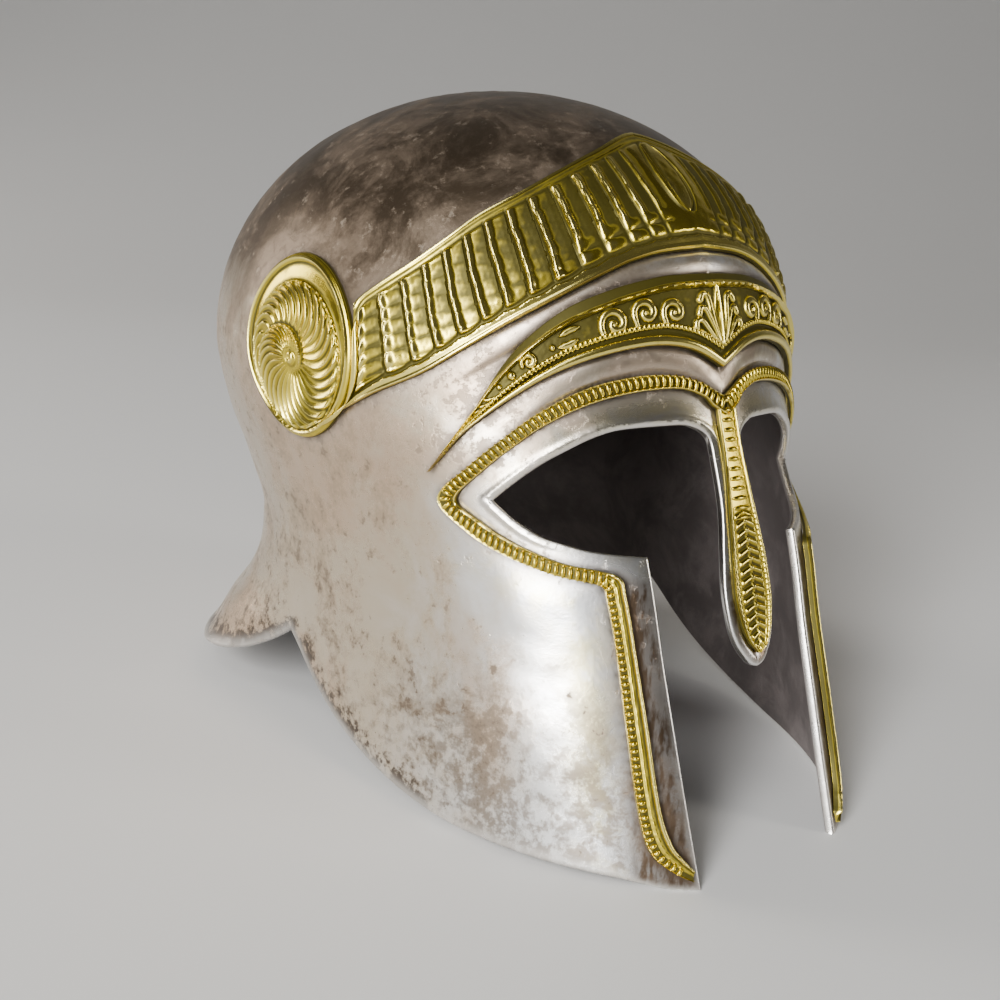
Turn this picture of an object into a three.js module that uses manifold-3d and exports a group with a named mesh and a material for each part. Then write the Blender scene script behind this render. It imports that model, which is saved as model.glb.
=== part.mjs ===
// Greek helmet of the Corinthian kind, with a gilt ram-horn band, spirals, brow plate and rope trim.
// All lengths are in mm and all angles in degrees.
// The helmet looks toward -Y, its wearer's left is +X, and +Z is up.
// The shell is drawn first as it is worn, with the middle of the skull at the origin.
// It is then leaned back until the cheek tips and the neck guard stand on the floor at z = 0.

import * as THREE from "three";
import { mergeVertices } from "three/addons/utils/BufferGeometryUtils.js";
import Module from "manifold-3d";

const wasm = await Module();
wasm.setup();

// Driving sizes

const SKULL_RISE = 86;            // from the widest level up to the crown
const WALL = 3;                   // sheet thickness of the shell
const SEAT_GAP = 0.4;             // air between the shell and a gilt piece laid on it
const FOOT_CUT = 1.1;             // how much the cheek tips and the guard are flattened where they stand
const CHEEK_GAP_TOP = 31.2;       // half the gap between the two cheek guards, at its top
const CHEEK_GAP_TIP = 29.4;       // the same at the tips
const KEEL_HEIGHT = 1.5;          // soft ridge down the middle of the face
const KEEL_ANGLE = 9;             // how wide that ridge spreads
const KEEL_FADE_TOP = 40;         // the ridge dies out between this height
const KEEL_FADE_DEPTH = 60;       // and this much lower, where it is at its full height
const NOTCH_ANGLE = 91.5;         // where the cheek edge meets the neck guard
const ROW_SPLIT = -48;            // below this height the rows of the shell follow the rim

// Colours

const SILVER = 0xb8b3aa;
const GILT = 0xb9952f;

const STEEL_LOOK = { color: SILVER, roughness: 0.38, metalness: 0.9 };
const GILT_LOOK = { color: GILT, roughness: 0.34, metalness: 0.95 };

// Shape of the level sections of the shell, each as height and value

const HALF_WIDTH = [
  [45, 97],
  [0, 96.8],
  [-20, 94],
  [-40, 88.2],
  [-60, 83.8],
  [-80, 82.6],
  [-110, 84.5],
  [-152, 84],
];

const FRONT_REACH = [
  [45, 117],
  [10, 116],
  [-3, 116.6],
  [-13, 118.4],
  [-36, 124.4],
  [-59, 130.5],
  [-89, 137],
  [-120, 144.5],
  [-152, 153],
];

const BACK_REACH = [
  [45, 111.5],
  [0, 111],
  [-20, 109.5],
  [-40, 104],
  [-60, 96.5],
  [-80, 93.5],
  [-100, 100],
  [-122, 110],
];

const FRONT_ROUNDNESS = [
  [60, 2],
  [25, 1.92],
  [-5, 1.94],
  [-38, 2.09],
  [-75, 2.3],
  [-152, 2.34],
];

const BACK_ROUNDNESS = [
  [0, 2],
  [-20, 1.97],
  [-40, 1.92],
  [-60, 1.88],
  [-80, 1.9],
  [-100, 2],
  [-122, 2.1],
];

const GUARD_FLARE = [
  [-60, 0],
  [-75, 3],
  [-90, 8],
  [-100, 13],
  [-110, 17],
  [-122, 25],
];

const FLARE_START = 86;           // angle from the front where the guard begins to flare
const FLARE_FULL = 125;           // angle where it has its whole flare

// Lower edge of the shell, each as angle from the front and height

const CHEEK_RIM = [
  [0, -150.6],
  [13, -150],
  [20, -147],
  [32, -144.3],
  [43, -141.5],
  [52, -137.3],
  [60, -132.4],
  [68.5, -126],
  [76, -118.8],
  [84, -109.2],
  [91.5, -99.5],
];

const GUARD_RIM = [
  [91.5, -99.5],
  [98, -105.3],
  [107.5, -111.8],
  [117, -115.3],
  [130, -116.8],
  [150, -118.4],
  [180, -119.4],
];

// Eye opening, from the outer corner along the top to the root of the nasal, as angle and height

const EYE_TOP = [
  [34.9, -40.5],
  [31.2, -34.5],
  [27.8, -29.6],
  [24.4, -25.8],
  [20.9, -22.4],
  [17.5, -20.2],
  [14, -19.4],
  [10.4, -19.1],
  [7, -19.1],
  [5.5, -19.9],
  [4.1, -21.3],
  [3.1, -23.8],
];

// Nasal, as height and half width

const NASAL = [
  [-29, 6.2],
  [-43, 6.2],
  [-56, 8.2],
  [-67, 9.5],
  [-77, 9],
  [-83, 7.4],
  [-87.5, 4.6],
  [-89.6, 2.4],
  [-90.4, 0],
];

// Eye opening, from the front corner of the cheek back to the outer corner, as angle and height

const EYE_BOTTOM = [
  [18.7, -54.6],
  [21.7, -53.7],
  [24.9, -52],
  [28, -50.1],
  [31.2, -46.4],
  [33, -43.6],
];

const CHEEK_TOP = -55.6;          // height of the cheek's front corner
const CHEEK_EDGE_STEPS = 8;
const CUTTER_DEPTH = 40;

// Horn band: upper and lower edge as angle and height

const BAND_TOP = [
  [0, 66],
  [2.8, 65.3],
  [15, 58.4],
  [22.1, 53.3],
  [29.9, 46.8],
  [36.8, 40.8],
  [43.3, 33.2],
  [48.3, 27.5],
  [53.5, 22.1],
  [60, 15],
];

const BAND_BOTTOM = [
  [0, 31],
  [7.2, 29.8],
  [12.5, 27.6],
  [19, 22.6],
  [25, 17.1],
  [32.2, 10.2],
  [38.9, 3],
  [46.1, -4.5],
  [54.2, -10.5],
  [64.4, -18.5],
  [77, -25.4],
];

// Ribs of the horn band: rib number counted from the temple, angle of its upper and of its lower end

const RIB_COUNT = 16;
const BAND_RIBS = [
  [0, 58.9, 75.6],
  [1, 57.9, 60],
  [2, 54.6, 52.1],
  [3, 50.8, 47.1],
  [8, 33, 28.7],
  [13, 12.8, 8.3],
  [16, 0, 0],
];

const BAND_RAIL = 0.08;            // share of the band's width in the plain rail on each edge
const ALMOND_REACH = 1.4;         // ribs on each side that make room for the almond
const BAND_ACROSS = [0, 0.06, 0.12, 0.37, 0.63, 0.88, 0.94, 1];
const RIB_SIDES = [0.28, 0.72];   // where the valley beside each crest begins and ends
const BAND_EDGE_HEIGHT = 0.8;
const BAND_FLOOR_HEIGHT = 1.4;
const RIB_HEIGHT = 3;
const BAND_RAIL_HEIGHT = 2.1;
const ALMOND_HEIGHT = 3.4;
const TUCK_ANGLE = -6.3;          // how the ribs next to the spiral bow round its edge
const TUCK_HEIGHT = -11.7;
const TUCK_RIBS = 1.6;

// Temple spirals

const SPIRAL_ANGLE = 73.5;        // where the middle of the disc sits, round from the front
const SPIRAL_LEVEL = 1.5;         // height of its middle
const SPIRAL_SPREAD = 14.7;       // half the disc in degrees round the helmet
const SPIRAL_RISE = 28.6;         // half the disc in height
const SPIRAL_SECTORS = 36;
const SPIRAL_RINGS = [0.14, 0.28, 0.42, 0.56, 0.7, 0.8, 0.9, 1];
const SPIRAL_UNDER_RINGS = [0.34, 0.68, 1];
const SPIRAL_WHORL_REACH = 0.78;  // share of the disc that the whorl takes
const SPIRAL_RIM_START = 0.88;    // where the raised rim begins
const SPIRAL_WINDINGS = 2.4;
const SPIRAL_VALLEY = 0.34;       // share of each winding that is the groove
const SPIRAL_GROOVE_HEIGHT = 1.8;
const SPIRAL_RIM_HEIGHT = 2.5;
const SPIRAL_FLOOR_HEIGHT = 1.3;
const SPIRAL_WHORL_HEIGHT = 3.3;

// Brow plate: angle and height of the upper edge, then of the lower edge

const BROW_STATIONS = [
  [0, 24, 0, -3.2],
  [4.5, 23.8, 5.1, 2.1],
  [9.6, 23, 10.8, 3.6],
  [17.4, 19.5, 18, 1.4],
  [24.8, 13.5, 25, -3.3],
  [31.8, 2, 31.8, -11],
  [37.3, -13.4, 38.2, -20],
  [41.3, -24, 41.8, -26.8],
  [44.6, -32.4, 44.9, -33.2],
];

// Trim round the eye and down the cheek: angle and height of the outer edge, then of the inner edge

const TRIM_STATIONS = [
  [0.2, -11.4, 0.2, -17.4],
  [2.5, -8.8, 2.2, -14.6],
  [4.4, -6.9, 3.8, -11.4],
  [8.4, -4.8, 7.6, -8.9],
  [13.9, -4.8, 14, -9.6],
  [20.9, -7.9, 20.7, -12.7],
  [27.8, -14.6, 27, -18.5],
  [33, -22, 31.5, -24.6],
  [38.6, -31, 35.8, -31.4],
  [43.5, -41, 40.2, -40.7],
  [38.6, -50.2, 36.5, -46.8],
  [33, -56.1, 31.5, -52.4],
  [26.6, -60.8, 25.5, -57.2],
  [21.6, -62.9, 20.6, -59.2],
  [20.3, -64.2, 18, -61.2],
  [19.9, -68, 17.4, -66.8],
  [19.1, -81.7, 16.7, -80.6],
  [18.5, -102.2, 15.9, -101.4],
  [17.7, -126.8, 15.1, -125.6],
  [16.7, -138.4, 14.2, -135.6],
  [14.7, -143.7, 13.1, -140.4],
  [12.2, -147.3, 12.1, -143.6],
];

// Nasal strip, as height and half width

const NASAL_STRIP = [
  [-18, 3.4],
  [-26, 3.4],
  [-36, 4.2],
  [-50, 5.8],
  [-60, 6.8],
  [-69, 7.1],
  [-77, 6],
  [-83, 3.6],
  [-86.4, 0.6],
];

// Cross profiles of the flat gilt pieces: share of the width from the upper or outer edge, and height

const BROW_PROFILE = [
  [0, 0.7],
  [0.16, 2.7],
  [0.26, 1.9],
  [0.72, 1.9],
  [0.84, 2.5],
  [1, 0.8],
];

const TRIM_PROFILE = [
  [0, 0.7],
  [0.3, 1.9],
  [0.7, 1.7],
  [1, 0.7],
];

const NASAL_PROFILE = [
  [0, 0.7],
  [0.24, 1.8],
  [0.5, 1.4],
  [0.76, 1.8],
  [1, 0.7],
];

const BROW_STEPS = 44;
const TRIM_STEPS = 50;
const NASAL_STEPS = 18;
const BROW_TIP_LENGTH = 1.5;      // stations over which the brow plate thins toward its tips
const BROW_TIP_THINNING = 0.55;

// Floor under the standing helmet

const FLOOR_WIDTH = 500;
const FLOOR_DEPTH = 40;

// Small helpers

const ease = (t) => {
  const c = Math.min(Math.max(t, 0), 1);
  return c * c * (3 - 2 * c);
};

// Smooth curve through a table, with x in its first column and the answer in column `value`
function curve(table, x, value = 1) {
  const rows = table[0][0] < table[table.length - 1][0] ? table : [...table].reverse();
  const last = rows.length - 1;
  if (x <= rows[0][0]) return rows[0][value];
  if (x >= rows[last][0]) return rows[last][value];
  let i = 0;
  while (x > rows[i + 1][0]) i += 1;
  const slope = (k) => (rows[k + 1][value] - rows[k][value]) / (rows[k + 1][0] - rows[k][0]);
  const tangent = (k) => {
    if (k === 0) return slope(0);
    if (k === last) return slope(last - 1);
    const before = slope(k - 1);
    const after = slope(k);
    return before * after <= 0 ? 0 : (2 * before * after) / (before + after);
  };
  const h = rows[i + 1][0] - rows[i][0];
  const t = (x - rows[i][0]) / h;
  const a = rows[i][value] * (1 + 2 * t) * (1 - t) ** 2;
  const b = rows[i + 1][value] * t * t * (3 - 2 * t);
  return a + b + h * (tangent(i) * t * (1 - t) ** 2 - tangent(i + 1) * t * t * (1 - t));
}

// Smooth open path through stations that may turn back, each value on its own
function path(stations, s, column) {
  const last = stations.length - 1;
  const i = Math.min(Math.floor(s), last - 1);
  const t = s - i;
  const at = (k) => stations[Math.min(Math.max(k, 0), last)][column];
  const m0 = (at(i + 1) - at(i - 1)) / 2;
  const m1 = (at(i + 2) - at(i)) / 2;
  const a = at(i) * (1 + 2 * t) * (1 - t) ** 2;
  const b = at(i + 1) * t * t * (3 - 2 * t);
  return a + b + m0 * t * (1 - t) ** 2 - m1 * t * t * (1 - t);
}

// Surface of the shell: angle round from the front toward the wearer's right, height above the widest level

function reach(angle, z) {
  const u = THREE.MathUtils.degToRad(angle);
  const dome = z > 0 ? Math.sqrt(Math.max(1 - (z / SKULL_RISE) ** 2, 0)) : 1;
  if (dome < 1e-6) return 0;
  const front = Math.cos(u) > 0;
  const along = dome * curve(front ? FRONT_REACH : BACK_REACH, z);
  const across = dome * curve(HALF_WIDTH, z);
  const n = curve(front ? FRONT_ROUNDNESS : BACK_ROUNDNESS, z);
  const plain = (Math.abs(Math.cos(u) / along) ** n + Math.abs(Math.sin(u) / across) ** n) ** (-1 / n);
  const turned = Math.abs(angle);
  const flare = curve(GUARD_FLARE, z) * ease((turned - FLARE_START) / (FLARE_FULL - FLARE_START));
  const fade = ease((KEEL_FADE_TOP - z) / KEEL_FADE_DEPTH);
  const keel = KEEL_HEIGHT * Math.exp(-((turned / KEEL_ANGLE) ** 2)) * fade;
  return plain + flare + keel;
}

function skin(angle, z) {
  const r = reach(angle, z);
  const u = THREE.MathUtils.degToRad(angle);
  return new THREE.Vector3(-r * Math.sin(u), -r * Math.cos(u), z);
}

// Height as a smooth climb: equal steps of climb are equal steps along the skull
const climbOf = (z) => (z > 0 ? SKULL_RISE * Math.asin(Math.min(z / SKULL_RISE, 1)) : z);
const heightOf = (c) => (c > 0 ? SKULL_RISE * Math.sin(Math.min(c / SKULL_RISE, Math.PI / 2)) : c);

// Direction square to the shell, worked out from a short step each way
const PROBE = 0.4;
const CROWN_CAP = 0.02;

function outward(angle, z) {
  if (z > SKULL_RISE - CROWN_CAP) return new THREE.Vector3(0, 0, 1);
  const c = climbOf(z);
  const round = skin(angle + PROBE, z).sub(skin(angle - PROBE, z));
  const up = skin(angle, heightOf(c + PROBE)).sub(skin(angle, heightOf(c - PROBE)));
  return up.cross(round).normalize();
}

// Point at a given distance outside the shell's outer face
function lifted(angle, z, distance) {
  return skin(angle, z).addScaledVector(outward(angle, z), distance);
}

// Angle where the shell is this far from its middle plane, found by repeated correction
function angleAtHalfWidth(half, z) {
  let u = 0;
  for (let k = 0; k < 14; k += 1) u = Math.asin(Math.min(half / reach(THREE.MathUtils.radToDeg(u), z), 1));
  return THREE.MathUtils.radToDeg(u);
}

// Mesh building

function geometryFrom(positions, triangles) {
  const raw = new THREE.BufferGeometry();
  raw.setAttribute("position", new THREE.Float32BufferAttribute(positions, 3));
  raw.setIndex(triangles);
  const merged = mergeVertices(raw, 1e-3);
  const index = merged.index.array;
  const kept = [];
  for (let k = 0; k < index.length; k += 3) {
    const [a, b, c] = [index[k], index[k + 1], index[k + 2]];
    if (a !== b && b !== c && c !== a) kept.push(a, b, c);
  }
  merged.setIndex(kept);
  return merged;
}

function toSolid(geometry) {
  const bare = geometry.clone();
  bare.deleteAttribute("normal");
  bare.deleteAttribute("uv");
  const welded = mergeVertices(bare, 1e-4);
  return new wasm.Manifold(new wasm.Mesh({
    numProp: 3,
    vertProperties: new Float32Array(welded.attributes.position.array),
    triVerts: new Uint32Array(welded.index.array),
  }));
}

function fromSolid(solid) {
  const mesh = solid.getMesh();
  const positions = [];
  for (let k = 0; k < mesh.vertProperties.length; k += mesh.numProp) {
    positions.push(mesh.vertProperties[k], mesh.vertProperties[k + 1], mesh.vertProperties[k + 2]);
  }
  return { positions, triangles: Array.from(mesh.triVerts) };
}

// Side wall between two rows of points that run the same way, each with its own spacing
function zip(triangles, rowA, rowB, stepsA, stepsB) {
  const share = (steps, k) => (steps[k] - steps[0]) / (steps[steps.length - 1] - steps[0]);
  let i = 0;
  let j = 0;
  while (i < rowA.length - 1 || j < rowB.length - 1) {
    const nextA = i < rowA.length - 1 ? share(stepsA, i + 1) : Infinity;
    const nextB = j < rowB.length - 1 ? share(stepsB, j + 1) : Infinity;
    if (nextA <= nextB) {
      triangles.push(rowA[i], rowB[j], rowA[i + 1]);
      i += 1;
    } else {
      triangles.push(rowA[i], rowB[j], rowB[j + 1]);
      j += 1;
    }
  }
}

// A gilt piece laid on the shell: place(s, t) gives angle and height, rise(s, t) the height of its face
function laidOn({ along, across, place, rise, underAcross = [0, 0.5, 1] }) {
  const positions = [];
  const triangles = [];
  const add = (s, t, distance) => {
    const [angle, z] = place(s, t);
    positions.push(...lifted(angle, z, distance).toArray());
    return positions.length / 3 - 1;
  };
  const face = along.map((s) => across.map((t) => add(s, t, SEAT_GAP + rise(s, t))));
  const under = along.map((s) => underAcross.map((t) => add(s, t, SEAT_GAP)));
  const sheet = (grid, flip) => {
    for (let i = 0; i < grid.length - 1; i += 1) {
      for (let j = 0; j < grid[i].length - 1; j += 1) {
        const [a, b, c, d] = [grid[i][j], grid[i + 1][j], grid[i + 1][j + 1], grid[i][j + 1]];
        if (flip) triangles.push(a, b, c, a, c, d);
        else triangles.push(a, c, b, a, d, c);
      }
    }
  };
  sheet(face, false);
  sheet(under, true);
  const column = (grid, j) => grid.map((row) => row[j]);
  const lastA = across.length - 1;
  const lastU = underAcross.length - 1;
  zip(triangles, column(under, 0), column(face, 0), along, along);
  zip(triangles, column(face, lastA), column(under, lastU), along, along);
  zip(triangles, face[0], under[0], across, underAcross);
  const end = along.length - 1;
  zip(triangles, under[end], face[end], underAcross, across);
  return geometryFrom(positions, triangles);
}

function mirrored(geometry) {
  const copy = geometry.clone();
  copy.scale(-1, 1, 1);
  const index = Array.from(copy.index.array);
  for (let k = 0; k < index.length; k += 3) [index[k + 1], index[k + 2]] = [index[k + 2], index[k + 1]];
  copy.setIndex(index);
  return copy;
}

// Shell: one half as a slab in angle and row, cut for the face, then bent into place and mirrored

// Angles of the columns of the slab
const COLUMNS = [
  0, 2.5, 6, 10, 14, 18, 22.5, 27, 31.5, 36, 41, 46, 52, 58, 64, 70, 77, 84, NOTCH_ANGLE,
  97, 103, 109, 116, 124, 132, 141, 150, 160, 170, 180,
];

const CROWN_STEPS = 10;
const BROW_ROWS = [-12, -24, -36, ROW_SPLIT];
const RIM_ROWS = 8;

// Heights of the level rows, from the crown down to where the rows begin to follow the rim
const FIXED_ROWS = [];
for (let k = 0; k < CROWN_STEPS; k += 1) {
  FIXED_ROWS.push(SKULL_RISE * Math.cos(((k / CROWN_STEPS) * Math.PI) / 2));
}
FIXED_ROWS.push(0);
FIXED_ROWS.push(...BROW_ROWS);
const SPLIT_ROW = FIXED_ROWS.length - 1;
const LAST_ROW = SPLIT_ROW + RIM_ROWS;

const rimHeight = (angle) => (angle <= NOTCH_ANGLE ? curve(CHEEK_RIM, angle) : curve(GUARD_RIM, angle));

function rowHeight(angle, row) {
  if (row <= SPLIT_ROW) {
    const i = Math.min(Math.floor(row), SPLIT_ROW - 1);
    return THREE.MathUtils.lerp(FIXED_ROWS[i], FIXED_ROWS[i + 1], row - i);
  }
  return THREE.MathUtils.lerp(ROW_SPLIT, rimHeight(angle), (row - SPLIT_ROW) / RIM_ROWS);
}

function rowAt(angle, z) {
  if (z <= ROW_SPLIT) return SPLIT_ROW + (RIM_ROWS * (z - ROW_SPLIT)) / (rimHeight(angle) - ROW_SPLIT);
  let i = 0;
  while (i < SPLIT_ROW - 1 && z < FIXED_ROWS[i + 1]) i += 1;
  return i + (FIXED_ROWS[i] - z) / (FIXED_ROWS[i] - FIXED_ROWS[i + 1]);
}

// Slab coordinates: x is angle over ten, y is row, z is 1 on the outer face and 0 on the inner face
const BEND = 0.02;
const bulge = (x, y) => BEND * (x * x + y * y);

function slabHalf() {
  const positions = [];
  const triangles = [];
  const put = (angle, row, side) => {
    const x = angle / 10;
    positions.push(x, row, side + bulge(x, row));
    return positions.length / 3 - 1;
  };
  const rows = Array.from({ length: LAST_ROW + 1 }, (_, k) => k);
  const outer = COLUMNS.map((angle) => rows.map((row) => put(angle, row, 1)));
  const inner = COLUMNS.map((angle) => rows.map((row) => put(angle, row, 0)));
  const quad = (a, b, c, d) => triangles.push(a, b, c, a, c, d);
  for (let i = 0; i < COLUMNS.length - 1; i += 1) {
    for (let j = 0; j < LAST_ROW; j += 1) {
      quad(outer[i][j], outer[i + 1][j], outer[i + 1][j + 1], outer[i][j + 1]);
      quad(inner[i][j], inner[i][j + 1], inner[i + 1][j + 1], inner[i + 1][j]);
    }
    quad(inner[i][0], inner[i + 1][0], outer[i + 1][0], outer[i][0]);
    quad(outer[i][LAST_ROW], outer[i + 1][LAST_ROW], inner[i + 1][LAST_ROW], inner[i][LAST_ROW]);
  }
  const end = COLUMNS.length - 1;
  for (let j = 0; j < LAST_ROW; j += 1) {
    quad(inner[0][j], outer[0][j], outer[0][j + 1], inner[0][j + 1]);
    quad(outer[end][j], inner[end][j], inner[end][j + 1], outer[end][j + 1]);
  }
  return geometryFrom(positions, triangles);
}

function faceOutline() {
  const outline = [];
  const add = (angle, z) => outline.push(new THREE.Vector2(angle / 10, rowAt(Math.max(angle, 0), z)));
  EYE_TOP.forEach(([angle, z]) => add(angle, z));
  NASAL.forEach(([z, half]) => add(half > 0 ? angleAtHalfWidth(half, z) : -1, z));
  outline.push(new THREE.Vector2(-0.1, LAST_ROW + 1));
  outline.push(new THREE.Vector2(angleAtHalfWidth(CHEEK_GAP_TIP, CHEEK_RIM[0][1]) / 10, LAST_ROW + 1));
  for (let k = 0; k <= CHEEK_EDGE_STEPS; k += 1) {
    const share = k / CHEEK_EDGE_STEPS;
    const z = THREE.MathUtils.lerp(CHEEK_RIM[0][1], CHEEK_TOP, share);
    add(angleAtHalfWidth(THREE.MathUtils.lerp(CHEEK_GAP_TIP, CHEEK_GAP_TOP, share), z), z);
  }
  EYE_BOTTOM.forEach(([angle, z]) => add(angle, z));
  return new THREE.Shape(outline);
}

function shellGeometry() {
  const cutter = new THREE.ExtrudeGeometry(faceOutline(), { depth: CUTTER_DEPTH, bevelEnabled: false });
  cutter.translate(0, 0, -CUTTER_DEPTH / 4);
  const { positions, triangles } = fromSolid(toSolid(slabHalf()).subtract(toSolid(cutter)));
  const bent = [];
  const isFront = [];
  const isBack = [];
  const isCrown = [];
  for (let k = 0; k < positions.length; k += 3) {
    const [x, y, side] = [positions[k], positions[k + 1], positions[k + 2]];
    const angle = x * 10;
    const onOuter = side - bulge(x, y) > 0.5;
    const z = rowHeight(angle, Math.max(y, 0));
    const point = lifted(angle, z, onOuter ? 0 : -WALL);
    isFront.push(angle < 0.001);
    isBack.push(angle > 179.999);
    isCrown.push(y < 0.001);
    if (angle < 0.001 || angle > 179.999 || y < 0.001) point.x = 0;
    if (y < 0.001) point.set(0, 0, onOuter ? SKULL_RISE : SKULL_RISE - WALL);
    bent.push(point.x, point.y, point.z);
  }
  const kept = [];
  for (let k = 0; k < triangles.length; k += 3) {
    const corners = [triangles[k], triangles[k + 1], triangles[k + 2]];
    const inside = [isFront, isBack, isCrown].some((flags) => corners.every((c) => flags[c]));
    if (!inside) kept.push(...corners);
  }
  const half = geometryFrom(bent, kept);
  const other = mirrored(half);
  const joined = [...half.attributes.position.array, ...other.attributes.position.array];
  const count = half.attributes.position.count;
  const faces = [...half.index.array, ...Array.from(other.index.array, (v) => v + count)];
  return geometryFrom(joined, faces);
}

// Horn band with its ribs and the almond in the middle

const ribAngle = (rib, column) => {
  const side = rib <= RIB_COUNT ? 1 : -1;
  return side * curve(BAND_RIBS, RIB_COUNT - Math.abs(RIB_COUNT - rib), column);
};

function bandPlace(rib, t) {
  const top = ribAngle(rib, 1);
  const bottom = ribAngle(rib, 2);
  const zTop = curve(BAND_TOP, Math.abs(top));
  const zBottom = curve(BAND_BOTTOM, Math.abs(bottom));
  const fromTemple = RIB_COUNT - Math.abs(RIB_COUNT - rib);
  const side = rib <= RIB_COUNT ? 1 : -1;
  const tuck = (1 - ease(fromTemple / TUCK_RIBS)) * Math.sin(Math.PI * t);
  const angle = THREE.MathUtils.lerp(top, bottom, t) + side * TUCK_ANGLE * tuck;
  return [angle, THREE.MathUtils.lerp(zTop, zBottom, t) + TUCK_HEIGHT * tuck];
}

function bandRise(rib, t) {
  const edge = Math.min(t, 1 - t);
  if (edge === 0) return BAND_EDGE_HEIGHT;
  if (edge < BAND_RAIL) return BAND_RAIL_HEIGHT;
  const fromMiddle = Math.abs(RIB_COUNT - rib);
  if (fromMiddle === 0) return ALMOND_HEIGHT;
  if (fromMiddle < ALMOND_REACH) return BAND_FLOOR_HEIGHT;
  return Number.isInteger(rib) ? RIB_HEIGHT : BAND_FLOOR_HEIGHT;
}

function hornBand() {
  const along = [];
  for (let rib = 0; rib < 2 * RIB_COUNT; rib += 1) along.push(rib, rib + RIB_SIDES[0], rib + RIB_SIDES[1]);
  along.push(2 * RIB_COUNT);
  return laidOn({
    along,
    across: BAND_ACROSS,
    underAcross: [0, 0.25, 0.5, 0.75, 1],
    place: bandPlace,
    rise: bandRise,
  });
}

// Temple spiral: a round plate whose face winds up to the middle

function spiralRise(turn, radius) {
  if (radius === 1) return BAND_EDGE_HEIGHT;
  if (radius > SPIRAL_RIM_START) return SPIRAL_RIM_HEIGHT;
  if (radius > SPIRAL_WHORL_REACH) return SPIRAL_FLOOR_HEIGHT;
  if (radius === 0) return SPIRAL_WHORL_HEIGHT;
  const winding = radius * SPIRAL_WINDINGS - turn / (2 * Math.PI);
  const groove = winding - Math.floor(winding) < SPIRAL_VALLEY;
  return groove ? SPIRAL_GROOVE_HEIGHT : SPIRAL_WHORL_HEIGHT - radius;
}

function templeSpiral() {
  const positions = [];
  const triangles = [];
  const add = (turn, radius, distance) => {
    const angle = SPIRAL_ANGLE + SPIRAL_SPREAD * radius * Math.cos(turn);
    const z = SPIRAL_LEVEL + SPIRAL_RISE * radius * Math.sin(turn);
    positions.push(...lifted(angle, z, distance).toArray());
    return positions.length / 3 - 1;
  };
  const turns = Array.from({ length: SPIRAL_SECTORS }, (_, k) => (k / SPIRAL_SECTORS) * 2 * Math.PI);
  const build = (radii, lift, flip) => {
    const middle = add(0, 0, lift(0, 0));
    const loops = radii.map((radius) => turns.map((turn) => add(turn, radius, lift(turn, radius))));
    for (let k = 0; k < SPIRAL_SECTORS; k += 1) {
      const n = (k + 1) % SPIRAL_SECTORS;
      const face = (a, b, c) => (flip ? triangles.push(a, c, b) : triangles.push(a, b, c));
      face(middle, loops[0][n], loops[0][k]);
      for (let r = 0; r < radii.length - 1; r += 1) {
        face(loops[r][k], loops[r][n], loops[r + 1][n]);
        face(loops[r][k], loops[r + 1][n], loops[r + 1][k]);
      }
    }
    return loops[radii.length - 1];
  };
  const faceEdge = build(SPIRAL_RINGS, (turn, radius) => SEAT_GAP + spiralRise(turn, radius), false);
  const underEdge = build(SPIRAL_UNDER_RINGS, () => SEAT_GAP, true);
  for (let k = 0; k < SPIRAL_SECTORS; k += 1) {
    const n = (k + 1) % SPIRAL_SECTORS;
    triangles.push(faceEdge[k], faceEdge[n], underEdge[n]);
    triangles.push(faceEdge[k], underEdge[n], underEdge[k]);
  }
  return geometryFrom(positions, triangles);
}

// Brow plate, eye trim and nasal strip

function evenly(from, to, count) {
  return Array.from({ length: count + 1 }, (_, k) => from + ((to - from) * k) / count);
}

const shares = (profile) => profile.map(([share]) => share);

function browPlate() {
  const last = BROW_STATIONS.length - 1;
  const place = (s, t) => {
    const side = s < 0 ? -1 : 1;
    const at = (column) => path(BROW_STATIONS, Math.abs(s), column);
    return [side * THREE.MathUtils.lerp(at(0), at(2), t), THREE.MathUtils.lerp(at(1), at(3), t)];
  };
  const tipShare = (s) => ease((Math.abs(s) - last + BROW_TIP_LENGTH) / BROW_TIP_LENGTH);
  return laidOn({
    along: evenly(last, -last, BROW_STEPS),
    across: shares(BROW_PROFILE),
    place,
    rise: (s, t) => curve(BROW_PROFILE, t) * (1 - BROW_TIP_THINNING * tipShare(s)),
  });
}

function eyeTrim() {
  const last = TRIM_STATIONS.length - 1;
  const place = (s, t) => {
    const at = (column) => path(TRIM_STATIONS, s, column);
    return [THREE.MathUtils.lerp(at(0), at(2), t), THREE.MathUtils.lerp(at(1), at(3), t)];
  };
  return laidOn({
    along: evenly(last, 0, TRIM_STEPS),
    across: shares(TRIM_PROFILE),
    place,
    rise: (s, t) => curve(TRIM_PROFILE, t),
  });
}

function nasalStrip() {
  const top = NASAL_STRIP[0][0];
  const bottom = NASAL_STRIP[NASAL_STRIP.length - 1][0];
  const place = (z, t) => [angleAtHalfWidth(curve(NASAL_STRIP, z), z) * (2 * t - 1), z];
  return laidOn({
    along: evenly(top, bottom, NASAL_STEPS),
    across: shares(NASAL_PROFILE),
    place,
    rise: (z, t) => curve(NASAL_PROFILE, t),
  });
}

// Stand the helmet on the floor: it leans back until the cheek tips and the end of the guard are level

const tipHeight = CHEEK_RIM[0][1];
const tip = lifted(angleAtHalfWidth(CHEEK_GAP_TIP, tipHeight), tipHeight, -WALL);
const heel = lifted(180, GUARD_RIM[GUARD_RIM.length - 1][1], -WALL);
const lean = Math.atan2(heel.z - tip.z, heel.y - tip.y);
const tilt = new THREE.Matrix4().makeRotationX(-lean);

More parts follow.
